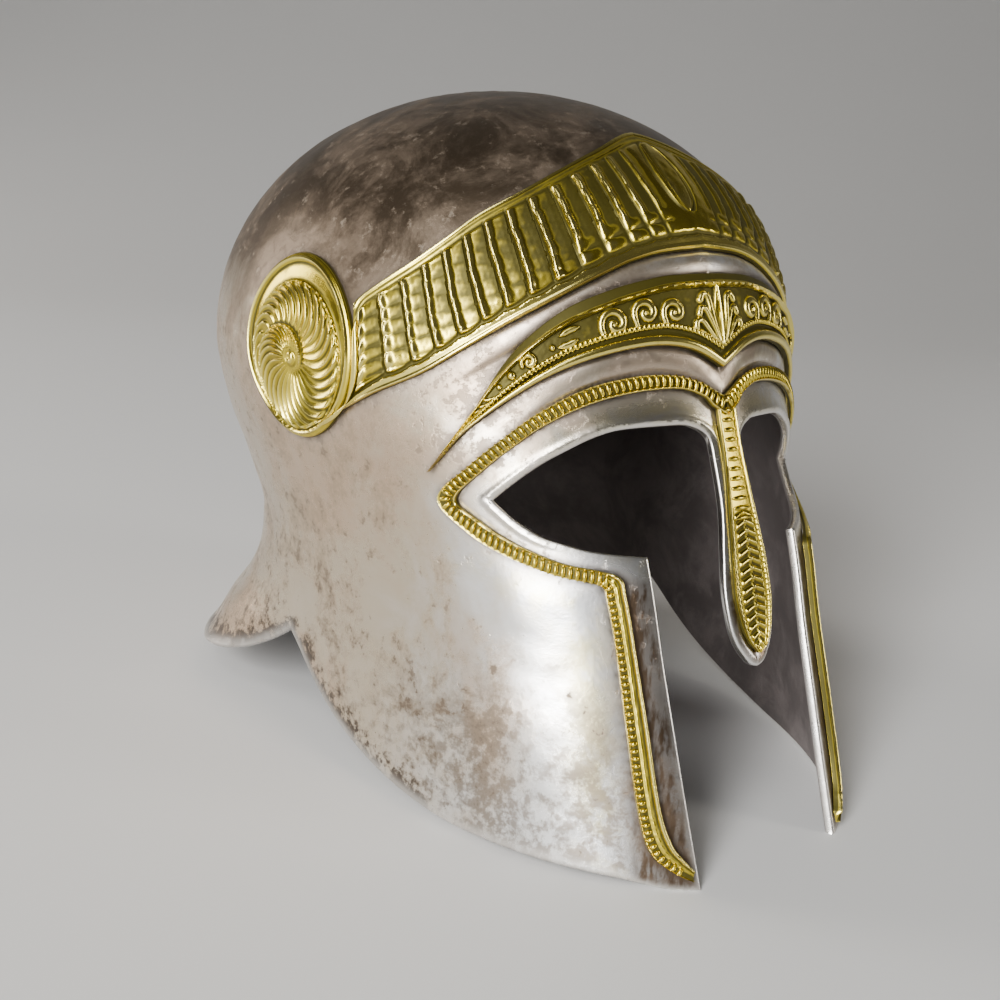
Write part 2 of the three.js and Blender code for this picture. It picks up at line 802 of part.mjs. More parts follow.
const pieces = [
  ["helmet_shell", shellGeometry(), STEEL_LOOK],
  ["horn_band", hornBand(), GILT_LOOK],
  ["horn_spiral_right", templeSpiral(), GILT_LOOK],
  ["horn_spiral_left", mirrored(templeSpiral()), GILT_LOOK],
  ["brow_plate", browPlate(), GILT_LOOK],
  ["eye_trim_right", eyeTrim(), GILT_LOOK],
  ["eye_trim_left", mirrored(eyeTrim()), GILT_LOOK],
  ["nasal_strip", nasalStrip(), GILT_LOOK],
];

pieces.forEach(([, geometry]) => geometry.applyMatrix4(tilt));

const shell = pieces[0][1];
shell.computeBoundingBox();
const floor = shell.boundingBox.min.z + FOOT_CUT;
const middle = (shell.boundingBox.min.y + shell.boundingBox.max.y) / 2;
pieces.forEach(([, geometry]) => geometry.translate(0, -middle, -floor));

const ground = new THREE.BoxGeometry(FLOOR_WIDTH, FLOOR_WIDTH, FLOOR_DEPTH);
ground.translate(0, 0, -FLOOR_DEPTH / 2);
const standing = fromSolid(toSolid(shell).subtract(toSolid(ground)));
pieces[0][1] = geometryFrom(standing.positions, standing.triangles);

const helmet = new THREE.Group();
helmet.name = "greek_helmet";

pieces.forEach(([name, geometry, look]) => {
  geometry.computeVertexNormals();
  const mesh = new THREE.Mesh(geometry, new THREE.MeshStandardMaterial(look));
  mesh.name = name;
  helmet.add(mesh);
});

export default helmet;
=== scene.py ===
"""Silvered helmet of the Corinthian kind with gilt ram-horn relief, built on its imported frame."""

import math

import bpy
import numpy as np
from mathutils import Matrix, Vector
from mathutils.geometry import delaunay_2d_cdt


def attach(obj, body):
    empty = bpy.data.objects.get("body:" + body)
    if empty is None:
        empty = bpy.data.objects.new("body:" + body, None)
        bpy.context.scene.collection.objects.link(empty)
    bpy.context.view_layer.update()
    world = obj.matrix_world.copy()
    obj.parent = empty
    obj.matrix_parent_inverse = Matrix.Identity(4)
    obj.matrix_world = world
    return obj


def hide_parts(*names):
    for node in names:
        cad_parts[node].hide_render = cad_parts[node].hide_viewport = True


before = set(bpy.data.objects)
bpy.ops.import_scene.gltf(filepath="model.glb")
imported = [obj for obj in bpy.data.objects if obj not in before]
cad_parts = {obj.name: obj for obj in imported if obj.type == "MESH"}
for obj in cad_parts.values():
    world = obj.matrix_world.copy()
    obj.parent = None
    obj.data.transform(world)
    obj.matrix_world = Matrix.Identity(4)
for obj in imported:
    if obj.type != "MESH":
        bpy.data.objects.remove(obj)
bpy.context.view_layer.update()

bl_info = {
    "name": "Greek Helmet",
    "version": (1, 0, 0),
    "blender": (4, 5, 0),
    "location": "View3D > Sidebar > Helmet",
    "description": "Silvered helmet with gilt ram-horn relief, its finishes and its studio stage",
    "category": "Add Mesh",
}

# The helmet is worked out in mm as it is worn: the middle of the skull at the origin, the face toward -Y.
# A place on it is an angle in degrees, from the front toward the wearer's right, and a height.

MM = 0.001
BODY = "root"

# Main sizes of the shell

SKULL_RISE = 86.0
WALL = 3.0
SEAT_GAP = 0.4
EDGE_ROUND = 0.8
KEEL_HEIGHT = 1.5
KEEL_ANGLE = 9.0
KEEL_FADE_TOP = 40.0
KEEL_FADE_DEPTH = 60.0
FLARE_START = 86.0
FLARE_FULL = 125.0
NOTCH_ANGLE = 91.5
CHEEK_GAP_TOP = 31.2
CHEEK_GAP_TIP = 29.4
CHEEK_TOP = -55.6

# How the helmet stands: leaned back about the X axis, then moved onto the floor

LEAN = math.radians(6.148)
STAND_BACK = 21.94
STAND_UP = 133.82

# Level sections of the shell, each row a height and a value

HALF_WIDTH = [(45, 97), (0, 96.8), (-20, 94), (-40, 88.2), (-60, 83.8), (-80, 82.6), (-110, 84.5), (-152, 84)]
FRONT_REACH = [
    (45, 117), (10, 116), (-3, 116.6), (-13, 118.4), (-36, 124.4),
    (-59, 130.5), (-89, 137), (-120, 144.5), (-152, 153),
]
BACK_REACH = [
    (45, 111.5), (0, 111), (-20, 109.5), (-40, 104), (-60, 96.5), (-80, 93.5), (-100, 100), (-122, 110),
]
FRONT_ROUNDNESS = [(60, 2), (25, 1.92), (-5, 1.94), (-38, 2.09), (-75, 2.3), (-152, 2.34)]
BACK_ROUNDNESS = [(0, 2), (-20, 1.97), (-40, 1.92), (-60, 1.88), (-80, 1.9), (-100, 2), (-122, 2.1)]
GUARD_FLARE = [(-60, 0), (-75, 3), (-90, 8), (-100, 13), (-110, 17), (-122, 25)]

# Edges of the shell, each row an angle and a height

CHEEK_RIM = [
    (0, -150.6), (13, -150), (20, -147), (32, -144.3), (43, -141.5), (52, -137.3),
    (60, -132.4), (68.5, -126), (76, -118.8), (84, -109.2), (91.5, -99.5),
]
GUARD_RIM = [
    (91.5, -99.5), (98, -105.3), (107.5, -111.8), (117, -115.3), (130, -116.8), (150, -118.4), (180, -119.4),
]
EYE_TOP = [
    (34.9, -40.5), (31.2, -34.5), (27.8, -29.6), (24.4, -25.8), (20.9, -22.4), (17.5, -20.2),
    (14, -19.4), (10.4, -19.1), (7, -19.1), (5.5, -19.9), (4.1, -21.3), (3.1, -23.8),
]
EYE_BOTTOM = [
    (18.7, -54.6), (21.7, -53.7), (24.9, -52), (28, -50.1), (31.2, -46.4), (33, -43.6), (34.9, -40.5),
]

# Nasal and its gilt strip, each row a height and half a width

NASAL = [
    (-29, 6.2), (-43, 6.2), (-56, 8.2), (-67, 9.5), (-77, 9),
    (-83, 7.4), (-87.5, 4.6), (-89.6, 2.4), (-90.4, 0),
]
NASAL_STRIP = [
    (-18, 3.4), (-26, 3.4), (-36, 4.2), (-50, 5.8), (-60, 6.8),
    (-69, 7.1), (-77, 6), (-83, 3.6), (-86.4, 0.6),
]
NASAL_RUN_UP = 2.6
LADDER_TOP = -13.0
LADDER_FOOT = -47.0

# Horn band: its edges as angle and height, and the angle of the upper and lower end of some of its ribs

BAND_TOP = [
    (0, 66), (2.8, 65.3), (15, 58.4), (22.1, 53.3), (29.9, 46.8), (36.8, 40.8),
    (43.3, 33.2), (48.3, 27.5), (53.5, 22.1), (60, 15),
]
BAND_BOTTOM = [
    (0, 31), (7.2, 29.8), (12.5, 27.6), (19, 22.6), (25, 17.1), (32.2, 10.2),
    (38.9, 3), (46.1, -4.5), (54.2, -10.5), (64.4, -18.5), (77, -25.4),
]
BAND_RIBS = [
    (0, 58.9, 75.6), (1, 57.9, 60), (2, 54.6, 52.1), (3, 50.8, 47.1),
    (8, 33, 28.7), (13, 12.8, 8.3), (16, 0, 0),
]
RIB_COUNT = 16
TUCK_ANGLE = -5.2
TUCK_HEIGHT = -11.7
TUCK_RIBS = 1.6

# Relief of the band: shares of its width where its top rail ends and its bottom rail starts, share of a rib's
# run where its crest lies, and how many rings are stacked along a rib

TOP_RAIL = 0.085
BOTTOM_RAIL = 0.868
RIB_CREST = 0.20
RIB_RINGS = 7.2

# Almond in the middle of the band, in mm

ALMOND_LEVEL = 52.0
ALMOND_HALF_HEIGHT = 10.8
ALMOND_HALF_WIDTH = 5.3

# Temple spirals: the middle as angle and height, then the half sizes

SPIRAL_ANGLE = 73.5
SPIRAL_LEVEL = 1.5
SPIRAL_SPREAD = 14.7
SPIRAL_RISE = 28.6

# The ram's horn on each disc, in shares of the disc's radius: how far its boss lies below the middle, how
# large the boss is, how far the horn reaches, and its spiral line, each row a turn in degrees and a radius

BOSS_DROP = 0.112
BOSS_RADIUS = 0.075
HORN_REACH = 0.80
HORN_LINE = [
    (-107, 0.11), (-60, 0.14), (0, 0.20), (50, 0.25), (105, 0.36), (150, 0.52),
    (175, 0.61), (195, 0.67), (219, 0.73), (253, 0.785),
]
HORN_START = HORN_LINE[0][0]
HORN_END = HORN_LINE[-1][0]

# Brow plate and eye trim, each row the angle and height of one edge, then of the other

BROW_STATIONS = [
    (0, 24, 0, -3.2), (4.5, 23.8, 5.1, 2.1), (9.6, 23, 10.8, 3.6), (17.4, 19.5, 18, 1.4),
    (24.8, 13.5, 25, -3.3), (31.8, 2, 31.8, -11), (37.3, -13.4, 38.2, -20), (41.3, -24, 41.8, -26.8),
    (44.6, -32.4, 44.9, -33.2),
]
BROW_BOTTOM = [(row[2], row[3]) for row in BROW_STATIONS]
TRIM_STATIONS = [
    (0.2, -11.4, 0.2, -17.4), (2.5, -8.8, 2.2, -14.6), (4.4, -6.9, 3.8, -11.4), (8.4, -4.8, 7.6, -8.9),
    (13.9, -4.8, 14, -9.6), (20.9, -7.9, 20.7, -12.7), (27.8, -14.6, 27, -18.5), (33, -22, 31.5, -24.6),
    (38.6, -31, 35.8, -31.4), (43.5, -41, 40.2, -40.7), (38.6, -50.2, 36.5, -46.8), (33, -56.1, 31.5, -52.4),
    (26.6, -60.8, 25.5, -57.2), (21.6, -62.9, 20.6, -59.2), (20.3, -64.2, 18, -61.2),
    (19.9, -68, 17.4, -66.8), (19.1, -81.7, 16.7, -80.6), (18.5, -102.2, 15.9, -101.4),
    (17.7, -126.8, 15.1, -125.6), (16.7, -138.4, 14.2, -135.6), (14.7, -143.7, 13.1, -140.4),
    (12.2, -147.3, 12.1, -143.6),
]
TRIM_CORNER = 13

# Brow plate in mm: how far in from its edges the rim, the lower moulding and the rope lie, how much further in
# the rim lies with each degree, and the width from which the relief is full

RIM_INSET = 3.5
RIM_SPREAD = 0.045
MOULDING_WIDTH = 3.0
ROPE_INSET = 5.7
FULL_WIDTH = 12.0

# Scrolls of one half of the brow plate, in mm on the flat sheet: across, up, radius

BROW_SCROLLS = [(15.6, 13.0, 3.7), (24.4, 13.0, 3.9), (33.8, 10.1, 4.3)]

# Where each scroll starts, in degrees, and how many turns it makes

SCROLL_START = -35
SCROLL_TURNS = 1.14

# Fronds of half the palmette, and its spear: points and half widths in mm on the flat sheet, then the share of
# the full height

BOLD, FINE = (0.6, 1.05, 1.1, 1.15), (0.5, 0.9, 1.0, 1.1)
FRONDS = [
    ([(0.9, 4.6), (2.5, 10.5), (3.6, 16.6), (5.3, 17.9), (6.5, 16.2)], BOLD, 1.0),
    ([(1.2, 4.4), (3.2, 9.6), (4.9, 13.4), (6.6, 13.9), (7.3, 12.4)], FINE, 1.0),
    ([(1.4, 3.8), (4.2, 7.4), (6.6, 10.4), (8.3, 10.2), (8.6, 8.8)], FINE, 1.0),
    ([(1.6, 3.0), (5.0, 5.6), (7.8, 7.4), (9.4, 6.6)], FINE, 0.95),
]
SPEAR = [
    ([(0.0, 2.5), (0.0, 9.0), (0.0, 20.4)], (0.6, 2.3, 1.9, 0.2), 0.8),
    ([(0.0, 3.5), (0.0, 9.0), (0.0, 20.0)], (0.3, 0.5, 0.2), 1.25),
]

# Silver mouldings below two gilt edges, each row the edge, how far below it the middle lies, half the width
# and the height in mm, and the angles where the moulding starts to fade and is gone

MOULDINGS = [
    (BAND_BOTTOM, 3.7, 3.3, 1.35, 26, 44),
    (BROW_BOTTOM, 3.7, 3.2, 0.95, 20, 34),
]

# Bars, beads and ropes, each row its length, width and height in mm and its slant in radians

BAR_SHAPES = {
    "brow_rope": (1.05, 0.85, 0.50, 0.75),
    "eye_bars": (2.10, 0.82, 1.10, 0.15),
    "cheek_beads": (1.15, 0.80, 0.85, 0.0),
    "nasal_rungs": (2.50, 0.85, 0.90, 0.0),
}
ROPE_SPACING = 1.5
RUNG_SPACING = 2.9
BAR_RELIEF = 3.0

# Runs of bars and beads along the eye trim, each row its kind, the stations where it starts and ends, its
# place across the trim as a share, and its rise in mm

TRIM_RUNS = [
    ("eye_bars", 0.3, TRIM_CORNER + 0.6, 0.44, 1.15),
    ("cheek_beads", TRIM_CORNER + 0.6, len(TRIM_STATIONS) - 1.7, 0.27, 1.15),
]

# Mesh of the shell, in mm: its spacings, how far the fine part reaches as an angle and a height, how far
# inner points stay from the edge, and the rows' spacing as a share of the points' own

OUTER_SPACING = 2.0
INNER_SPACING = 4.5
EDGE_SPACING = 1.0
FINE_SPACING = 0.75
FINE_ANGLE = 73.6
FINE_TOP = 40.0
EDGE_MARGIN = 1.2
FINE_MARGIN = 0.55
ROW_SHARE = 0.866

# Flat sheets in mm for each degree: one for the shell's mesh, one for the ornament

FLAT_SCALE = 1.75
DRAWN_SCALE = 2.0

# Where the camera stands in the worn frame, in mm, and which way it looks

CAMERA_PLACE = (-263.0, -371.05, 30.36)
CAMERA_RIGHT = (0.81049, -0.58575, 0.0)
CAMERA_UP = (0.11789, 0.16312, 0.97954)
CAMERA_FOCAL_SHARE = 1.207

# Marks that the silver finish reads on the shell, each between 0 and 1: its inner face, its free edge, beside
# the gilding (dirt and painted contact shadow), the brushed front border, the dirty foot of the cheek, the
# gilt smear with painted reflection of the gilding, the skull, above the eyes

SHELL_MARKS = ("inside", "rim", "seat", "border", "foot", "glow", "dome", "brow")

# Colours that the finishes mix in over those that a user sets

WARM_SILVER = (0.84, 0.80, 0.74)
CREAM = (0.62, 0.505, 0.355)
DEEP_CREAM = (0.61, 0.435, 0.285)
GILT_SMEAR_AND_REFLECTION = (0.80, 0.70, 0.32)
BROWN_BLOTCH = (0.42, 0.32, 0.225)
BURNT_FOOT = (0.075, 0.055, 0.042)
# Tarnish darkened into painted shade over the crown
CROWN_TARNISH_AND_SHADE = (0.078, 0.056, 0.036)
PALE_MARK = (0.50, 0.42, 0.33)
BROW_BROWN = (0.36, 0.275, 0.21)
# Dirt and painted shade beside the gilding, then a painted contact shadow right at its edge
SEAT_DIRT_AND_SHADE = (0.44, 0.37, 0.31)
SEAT_CONTACT_SHADOW = (0.07, 0.055, 0.04)
BRUSHED_BORDER = (0.135, 0.092, 0.060)
POLISHED_EDGE = (0.86, 0.83, 0.78)
DEEP_GOLD = (0.48, 0.37, 0.040)
CREST_GOLD = (0.93, 0.79, 0.225)
RUBBED_GOLD = (0.27, 0.215, 0.04)

# Lamps of the studio, each row a name, its place and size in m, its power in W and its colour

LAMPS = [
    ("key", (-2.25, -1.1, 0.90), (0.75, 2.1), 142, (1.0, 1.0, 1.0)),
    ("top", (-1.3, -0.6, 2.2), (0.7, 0.7), 8, (1.0, 1.0, 1.0)),
    ("right_fill", (1.5, -1.8, 0.7), (0.5, 1.2), 18, (1.0, 0.95, 0.88)),
    ("back_rim", (-1.5, 1.8, 0.8), (0.8, 1.0), 28, (1.0, 0.94, 0.88)),
]
LAMP_AIM = (0.0, 0.0, 0.12)
WORLD_COLOUR = (0.88, 0.86, 0.83)
WORLD_STRENGTH = 0.08


# Small helpers for shapes


def ease(t):
    """Goes smoothly from 0 to 1 as t does."""
    c = np.clip(t, 0.0, 1.0)
    return c * c * (3 - 2 * c)


def curve(table, x, value=1):
    """Smooth curve through a table, with x in its first column and the answer in column `value`."""
    rows = np.array(table, float)
    if rows[0, 0] > rows[-1, 0]:
        rows = rows[::-1]
    at, level = rows[:, 0], rows[:, value]
    span = np.diff(at)
    slope = np.diff(level) / span
    tangent = np.zeros(len(at))
    tangent[0], tangent[-1] = slope[0], slope[-1]
    before, after = slope[:-1], slope[1:]
    same = before * after > 0
    tangent[1:-1][same] = 2 * before[same] * after[same] / (before[same] + after[same])
    x = np.clip(np.asarray(x, float), at[0], at[-1])
    i = np.clip(np.searchsorted(at, x, side="right") - 1, 0, len(span) - 1)
    h = span[i]
    t = (x - at[i]) / h
    bend = h * (tangent[i] * t * (1 - t) ** 2 - tangent[i + 1] * t * t * (1 - t))
    return level[i] * (1 + 2 * t) * (1 - t) ** 2 + level[i + 1] * t * t * (3 - 2 * t) + bend


def along_path(stations, s):
    """Smooth open path through stations that may turn back. Returns one row of columns for each s."""
    rows = np.array(stations, float)
    last = len(rows) - 1
    s = np.asarray(s, float)
    i = np.clip(np.floor(s).astype(int), 0, last - 1)
    t = (s - i)[..., None]

    def row(k):
        return rows[np.clip(k, 0, last)]

    m0 = (row(i + 1) - row(i - 1)) / 2
    m1 = (row(i + 2) - row(i)) / 2
    ends = row(i) * (1 + 2 * t) * (1 - t) ** 2 + row(i + 1) * t * t * (3 - 2 * t)
    return ends + m0 * t * (1 - t) ** 2 - m1 * t * t * (1 - t)


def smooth_run(points, spacing):
    """Evenly spaced points along a smooth line through a few points."""
    dense = along_path(points, np.linspace(0, len(points) - 1, 60 * len(points)))
    return evenly_spaced(dense, spacing)


def evenly_spaced(line, spacing):
    """The same line with points about this far apart, angles counted at the flat scale."""
    flat = line * (FLAT_SCALE, 1.0)
    length = np.concatenate(([0.0], np.cumsum(np.linalg.norm(np.diff(flat, axis=0), axis=1))))
    count = max(int(round(length[-1] / spacing)), 1)
    wanted = np.linspace(0, length[-1], count + 1)
    return np.stack([np.interp(wanted, length, line[:, k]) for k in (0, 1)], axis=1)


def wobble(x, y, seed, scale):
    """Soft, repeatable unevenness between -1 and 1, about `scale` mm from crest to crest."""
    pick = np.random.default_rng(seed)
    total = np.zeros(np.broadcast(x, y).shape)
    waves, spread = 9, 1.4
    for _ in range(waves):
        turn = pick.uniform(0, 2 * math.pi)
        size = pick.uniform(0.6, 1.6) * 2 * math.pi / scale
        total += np.sin(size * (x * math.cos(turn) + y * math.sin(turn)) + pick.uniform(0, 2 * math.pi))
    return total / math.sqrt(waves) / spread


# Surface of the shell


def reach(angle, z):
    """How far the shell's outer face is from the helmet's upright axis."""
    angle, z = np.broadcast_arrays(np.asarray(angle, float), np.asarray(z, float))
    u = np.radians(angle)
    dome = np.where(z > 0, np.sqrt(np.clip(1 - (z / SKULL_RISE) ** 2, 0, 1)), 1.0)
    front = np.cos(u) > 0
    along = np.maximum(dome * np.where(front, curve(FRONT_REACH, z), curve(BACK_REACH, z)), 1e-9)
    across = np.maximum(dome * curve(HALF_WIDTH, z), 1e-9)
    n = np.where(front, curve(FRONT_ROUNDNESS, z), curve(BACK_ROUNDNESS, z))
    plain = (np.abs(np.cos(u) / along) ** n + np.abs(np.sin(u) / across) ** n) ** (-1 / n)
    turned = np.abs(angle)
    flare = curve(GUARD_FLARE, z) * ease((turned - FLARE_START) / (FLARE_FULL - FLARE_START))
    fade = ease((KEEL_FADE_TOP - z) / KEEL_FADE_DEPTH)
    keel = KEEL_HEIGHT * np.exp(-((turned / KEEL_ANGLE) ** 2)) * fade
    return plain + flare + keel


def skin(angle, z):
    """Point on the shell's outer face."""
    r = reach(angle, z)
    u = np.radians(angle)
    return np.stack([-r * np.sin(u), -r * np.cos(u), np.broadcast_to(z, r.shape)], axis=-1)


def climb_of(z):
    """Height as a smooth climb: equal steps of climb are equal steps along the skull."""
    z = np.asarray(z, float)
    return np.where(z > 0, SKULL_RISE * np.arcsin(np.clip(z / SKULL_RISE, 0, 1)), z)


def height_of(climb):
    """Height of a climb."""
    climb = np.asarray(climb, float)
    return np.where(climb > 0, SKULL_RISE * np.sin(np.clip(climb / SKULL_RISE, 0, math.pi / 2)), climb)


def outward(angle, z):
    """Direction square to the shell, away from the head."""
    probe, pole_gap = 0.4, 0.02
    z = np.minimum(np.asarray(z, float), SKULL_RISE - pole_gap)
    c = climb_of(z)
    round_step = skin(angle + probe, z) - skin(angle - probe, z)
    up_step = skin(angle, height_of(c + probe)) - skin(angle, height_of(c - probe))
    n = np.cross(up_step, round_step)
    return n / np.linalg.norm(n, axis=-1, keepdims=True)


def lifted(angle, z, distance):
    """Point at a given distance outside the shell's outer face."""
    return skin(angle, z) + outward(angle, z) * np.asarray(distance, float)[..., None]


def angle_at_half_width(half, z):
    """Angle where the shell is this far from its middle plane, found by repeated correction."""
    u = np.zeros(np.broadcast(half, z).shape)
    for _ in range(14):
        u = np.arcsin(np.clip(half / reach(np.degrees(u), z), -1, 1))
    return np.degrees(u)


def standing(points, direction=False):
    """Turns worn millimetres into metres on the floor. A direction is only leaned."""
    x, y, z = points[..., 0], points[..., 1], points[..., 2]
    leaned = np.stack(
        [x, y * math.cos(LEAN) + z * math.sin(LEAN), z * math.cos(LEAN) - y * math.sin(LEAN)], axis=-1
    )
    if direction:
        return leaned
    placed = (leaned + (0.0, STAND_BACK, STAND_UP)) * MM
    placed[..., 2] = np.maximum(placed[..., 2], 0.0)
    return placed


# Mesh building


def make_mesh(name, points, quads, triangles, attributes=None, crease=50.0):
    """A smooth-shaded mesh object at the origin, from standing metres."""
    quads = np.asarray(quads, np.int32).reshape(-1, 4)
    triangles = np.asarray(triangles, np.int32).reshape(-1, 3)
    mesh = bpy.data.meshes.new(name)
    mesh.vertices.add(len(points))
    mesh.vertices.foreach_set("co", points.astype(np.float32).ravel())
    mesh.loops.add(quads.size + triangles.size)
    mesh.loops.foreach_set("vertex_index", np.concatenate([quads.ravel(), triangles.ravel()]))
    mesh.polygons.add(len(quads) + len(triangles))
    starts = np.concatenate([np.arange(len(quads)) * 4, quads.size + np.arange(len(triangles)) * 3])
    mesh.polygons.foreach_set("loop_start", starts.astype(np.int32))
    mesh.polygons.foreach_set("use_smooth", np.ones(len(mesh.polygons), bool))
    for key, values in (attributes or {}).items():
        layer = mesh.attributes.new(key, "FLOAT", "POINT")
        layer.data.foreach_set("value", np.asarray(values, np.float32))
    mesh.update(calc_edges=True)
    mesh.set_sharp_from_angle(angle=math.radians(crease))
    thing = bpy.data.objects.new(name, mesh)
    bpy.context.scene.collection.objects.link(thing)
    return thing


def put_on(thing, material, slot, *nodes):
    """Gives a finished piece its material and its body, and hides the nodes it stands for; the slot is not
    used.
    """
    thing.data.materials.clear()
    thing.data.materials.append(material)
    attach(thing, BODY)
    if nodes:
        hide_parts(*nodes)


def grid_quads(rows, columns, first=0, flip=False):
    """Faces of a grid whose rows run along a piece and whose columns run across it."""
    i, j = np.meshgrid(np.arange(rows - 1), np.arange(columns - 1), indexing="ij")
    a = first + i * columns + j
    corners = [a, a + 1, a + columns + 1, a + columns]
    if flip:
        corners.reverse()
    return np.stack(corners, axis=-1).reshape(-1, 4)


def zip_rows(row_a, row_b):
    """Triangles between two rows of vertices that run the same way and share their ends."""
    past_end = 2.0
    share_a = np.append(np.linspace(0, 1, len(row_a)), past_end)
    share_b = np.append(np.linspace(0, 1, len(row_b)), past_end)
    i = j = 0
    triangles = []
    while i < len(row_a) - 1 or j < len(row_b) - 1:
        if share_a[i + 1] <= share_b[j + 1]:
            triangles.append((row_a[i], row_b[j], row_a[i + 1]))
            i += 1
        else:
            triangles.append((row_a[i], row_b[j], row_b[j + 1]))
            j += 1
    return triangles


def running_mean(values, half, axis, wrap=False):
    """Mean of each value's neighbours up to `half` steps away along one axis."""
    pad = [(0, 0)] * values.ndim
    pad[axis] = (half + 1, half)
    padded = np.pad(values, pad, mode="wrap" if wrap else "edge")
    total = np.cumsum(padded, axis=axis)
    size = values.shape[axis]
    low = np.take(total, np.arange(size), axis=axis)
    high = np.take(total, np.arange(size) + 2 * half + 1, axis=axis)
    return (high - low) / (2 * half + 1)


def hollows(height, half_along, half_across, wrap=False):
    """How deep each place lies below its surroundings, in mm."""
    near = height
    for _ in range(2):
        near = running_mean(running_mean(near, half_along, 0, wrap), half_across, 1)
    return near - height


def relief_plate(along, across, place, height, blur):
    """Mesh data of a closed plate on the shell: place gives angle and height, height the rise of its face."""
    s, t = np.meshgrid(along, across, indexing="ij")
    angle, z = place(s, t)
    rise = height(s, t, angle, z)
    face = lifted(angle, z, SEAT_GAP + rise)
    under_across = across[[0, len(across) // 2, -1]]
    under_s, under_t = np.meshgrid(along, under_across, indexing="ij")
    under_angle, under_z = place(under_s, under_t)
    under = lifted(under_angle, under_z, np.full(under_s.shape, SEAT_GAP))
    rows, columns = s.shape
    base = rows * columns
    top = np.arange(base).reshape(rows, columns)
    bottom = base + np.arange(under_s.size).reshape(under_s.shape)
    quads = [
        grid_quads(rows, columns),
        grid_quads(*under_s.shape, base, flip=True),
        np.stack([bottom[:-1, 0], top[:-1, 0], top[1:, 0], bottom[1:, 0]], axis=-1),
        np.stack([top[:-1, -1], bottom[:-1, -1], bottom[1:, -1], top[1:, -1]], axis=-1),
    ]
    triangles = zip_rows(top[0], bottom[0]) + zip_rows(bottom[-1], top[-1])
    points = standing(np.concatenate([face.reshape(-1, 3), under.reshape(-1, 3)]))
    deep = hollows(rise, *blur)
    blank = np.zeros(under_s.size)
    attributes = {
        "relief": np.concatenate([rise.ravel(), blank]),
        "hollow_and_shade": np.concatenate([deep.ravel(), blank]),
    }
    return points, np.concatenate(quads), triangles, attributes


def add_dirt(made, darkening):
    """Darkens the face of a relief plate at each of its places, by dirt and by painted shade."""
    made[3]["hollow_and_shade"][: darkening.size] += darkening.ravel()


def mirror_of(points, quads, triangles, attributes):
    """The same piece on the other side of the face."""
    other = points * (-1.0, 1.0, 1.0)
    return other, np.asarray(quads)[:, ::-1], np.asarray(triangles).reshape(-1, 3)[:, ::-1], attributes


# Drawn ornament: raised strokes with a round back, in mm on the flat sheet


def stroke(points, widths, height):
    """A raised stroke through points, with a half width at each."""
    line = np.array(points, float)
    wide = np.interp(np.linspace(0, 1, len(line)), np.linspace(0, 1, len(widths)), widths)
    return line, wide, height


def bent_stroke(points, widths, height):
    """A stroke along a smooth line through a few points."""
    steps = 14
    line = along_path(points, np.linspace(0, len(points) - 1, steps * (len(points) - 1) + 1))
    return stroke(line, widths, height)


def ball_stroke(centre, radius, height, run=(0.1, 0.1)):
    """A small round boss, drawn as a very short stroke."""
    return stroke([centre, np.add(centre, run)], [radius, radius], height)


def scroll_stroke(centre, radius, widths, height):
    """A stroke that winds in to its centre."""
    steps, tightening = 40, 0.82
    share = np.linspace(0, 1, steps)
    turn = math.radians(SCROLL_START) + 2 * math.pi * SCROLL_TURNS * share
    r = radius * (1 - tightening * share)
    line = np.stack([centre[0] + r * np.cos(turn), centre[1] + r * np.sin(turn)], axis=-1)
    return stroke(line, widths, height)


def mirrored_stroke(drawn):
    """The same stroke on the other side of the face."""
    line, wide, height = drawn
    return line * (-1.0, 1.0), wide, height


def stroke_relief(x, y, strokes):
    """Height that the strokes add at each place."""
    total = np.zeros(x.shape)
    for line, wide, height in strokes:
        margin = wide.max()
        low, high = line.min(0) - margin, line.max(0) + margin
        near = (x > low[0]) & (x < high[0]) & (y > low[1]) & (y < high[1])
        if not near.any():
            continue
        at = np.stack([x[near], y[near]], axis=-1)[:, None, :]
        start, step = line[None, :-1], np.diff(line, axis=0)[None]
        length = np.maximum((step ** 2).sum(-1), 1e-12)
        share = np.clip(((at - start) * step).sum(-1) / length, 0, 1)
        away = np.linalg.norm(at - start - step * share[..., None], axis=-1)
        reach_here = wide[:-1][None] * (1 - share) + wide[1:][None] * share
        ratio = np.clip((away / np.maximum(reach_here, 1e-6)).min(axis=1), 0, 1)
        total[near] = np.maximum(total[near], height * np.sqrt(1 - ratio ** 2))
    return total


def ridge(t, middle, half, height):
    """A rounded ridge across a piece."""
    return height * np.sqrt(np.clip(1 - ((t - middle) / half) ** 2, 0, 1))


# Finishes: shader sockets that Python operators work on

# Places of a Mix node's sockets for colours, since several share a name

MIX_SHARE, MIX_FIRST, MIX_SECOND, MIX_RESULT = 0, 6, 7, 2


class Wire:
    """One value on its way through a material. Operators on it add Math nodes."""

    def __init__(self, finish, source):
        self.finish = finish
        self.source = source

    def _math(self, operation, *values):
        return self.finish.node("ShaderNodeMath", {"operation": operation}, values).out()

    def __add__(self, other):
        return self._math("ADD", self, other)

    def __sub__(self, other):
        return self._math("SUBTRACT", self, other)

    def __rsub__(self, other):
        return self._math("SUBTRACT", other, self)

    def __mul__(self, other):
        return self._math("MULTIPLY", self, other)

    def __pow__(self, other):
        return self._math("POWER", self, other)

    __radd__ = __add__
    __rmul__ = __mul__

    def kept(self, low=0.0, high=1.0):
        """The value held between two limits."""
        return self._math("MINIMUM", self._math("MAXIMUM", self, low), high)

    def step(self, low, high):
        """Goes smoothly from 0 to 1 as the value goes from low to high."""
        inputs = {"Value": self, "From Min": low, "From Max": high}
        return self.finish.node("ShaderNodeMapRange", {"interpolation_type": "SMOOTHSTEP"}, inputs).out()


class NodeMade:
    """A node and its outputs."""

    def __init__(self, finish, node):
        self.finish = finish
        self.node = node

    def out(self, name=0):
        return Wire(self.finish, self.node.outputs[name])


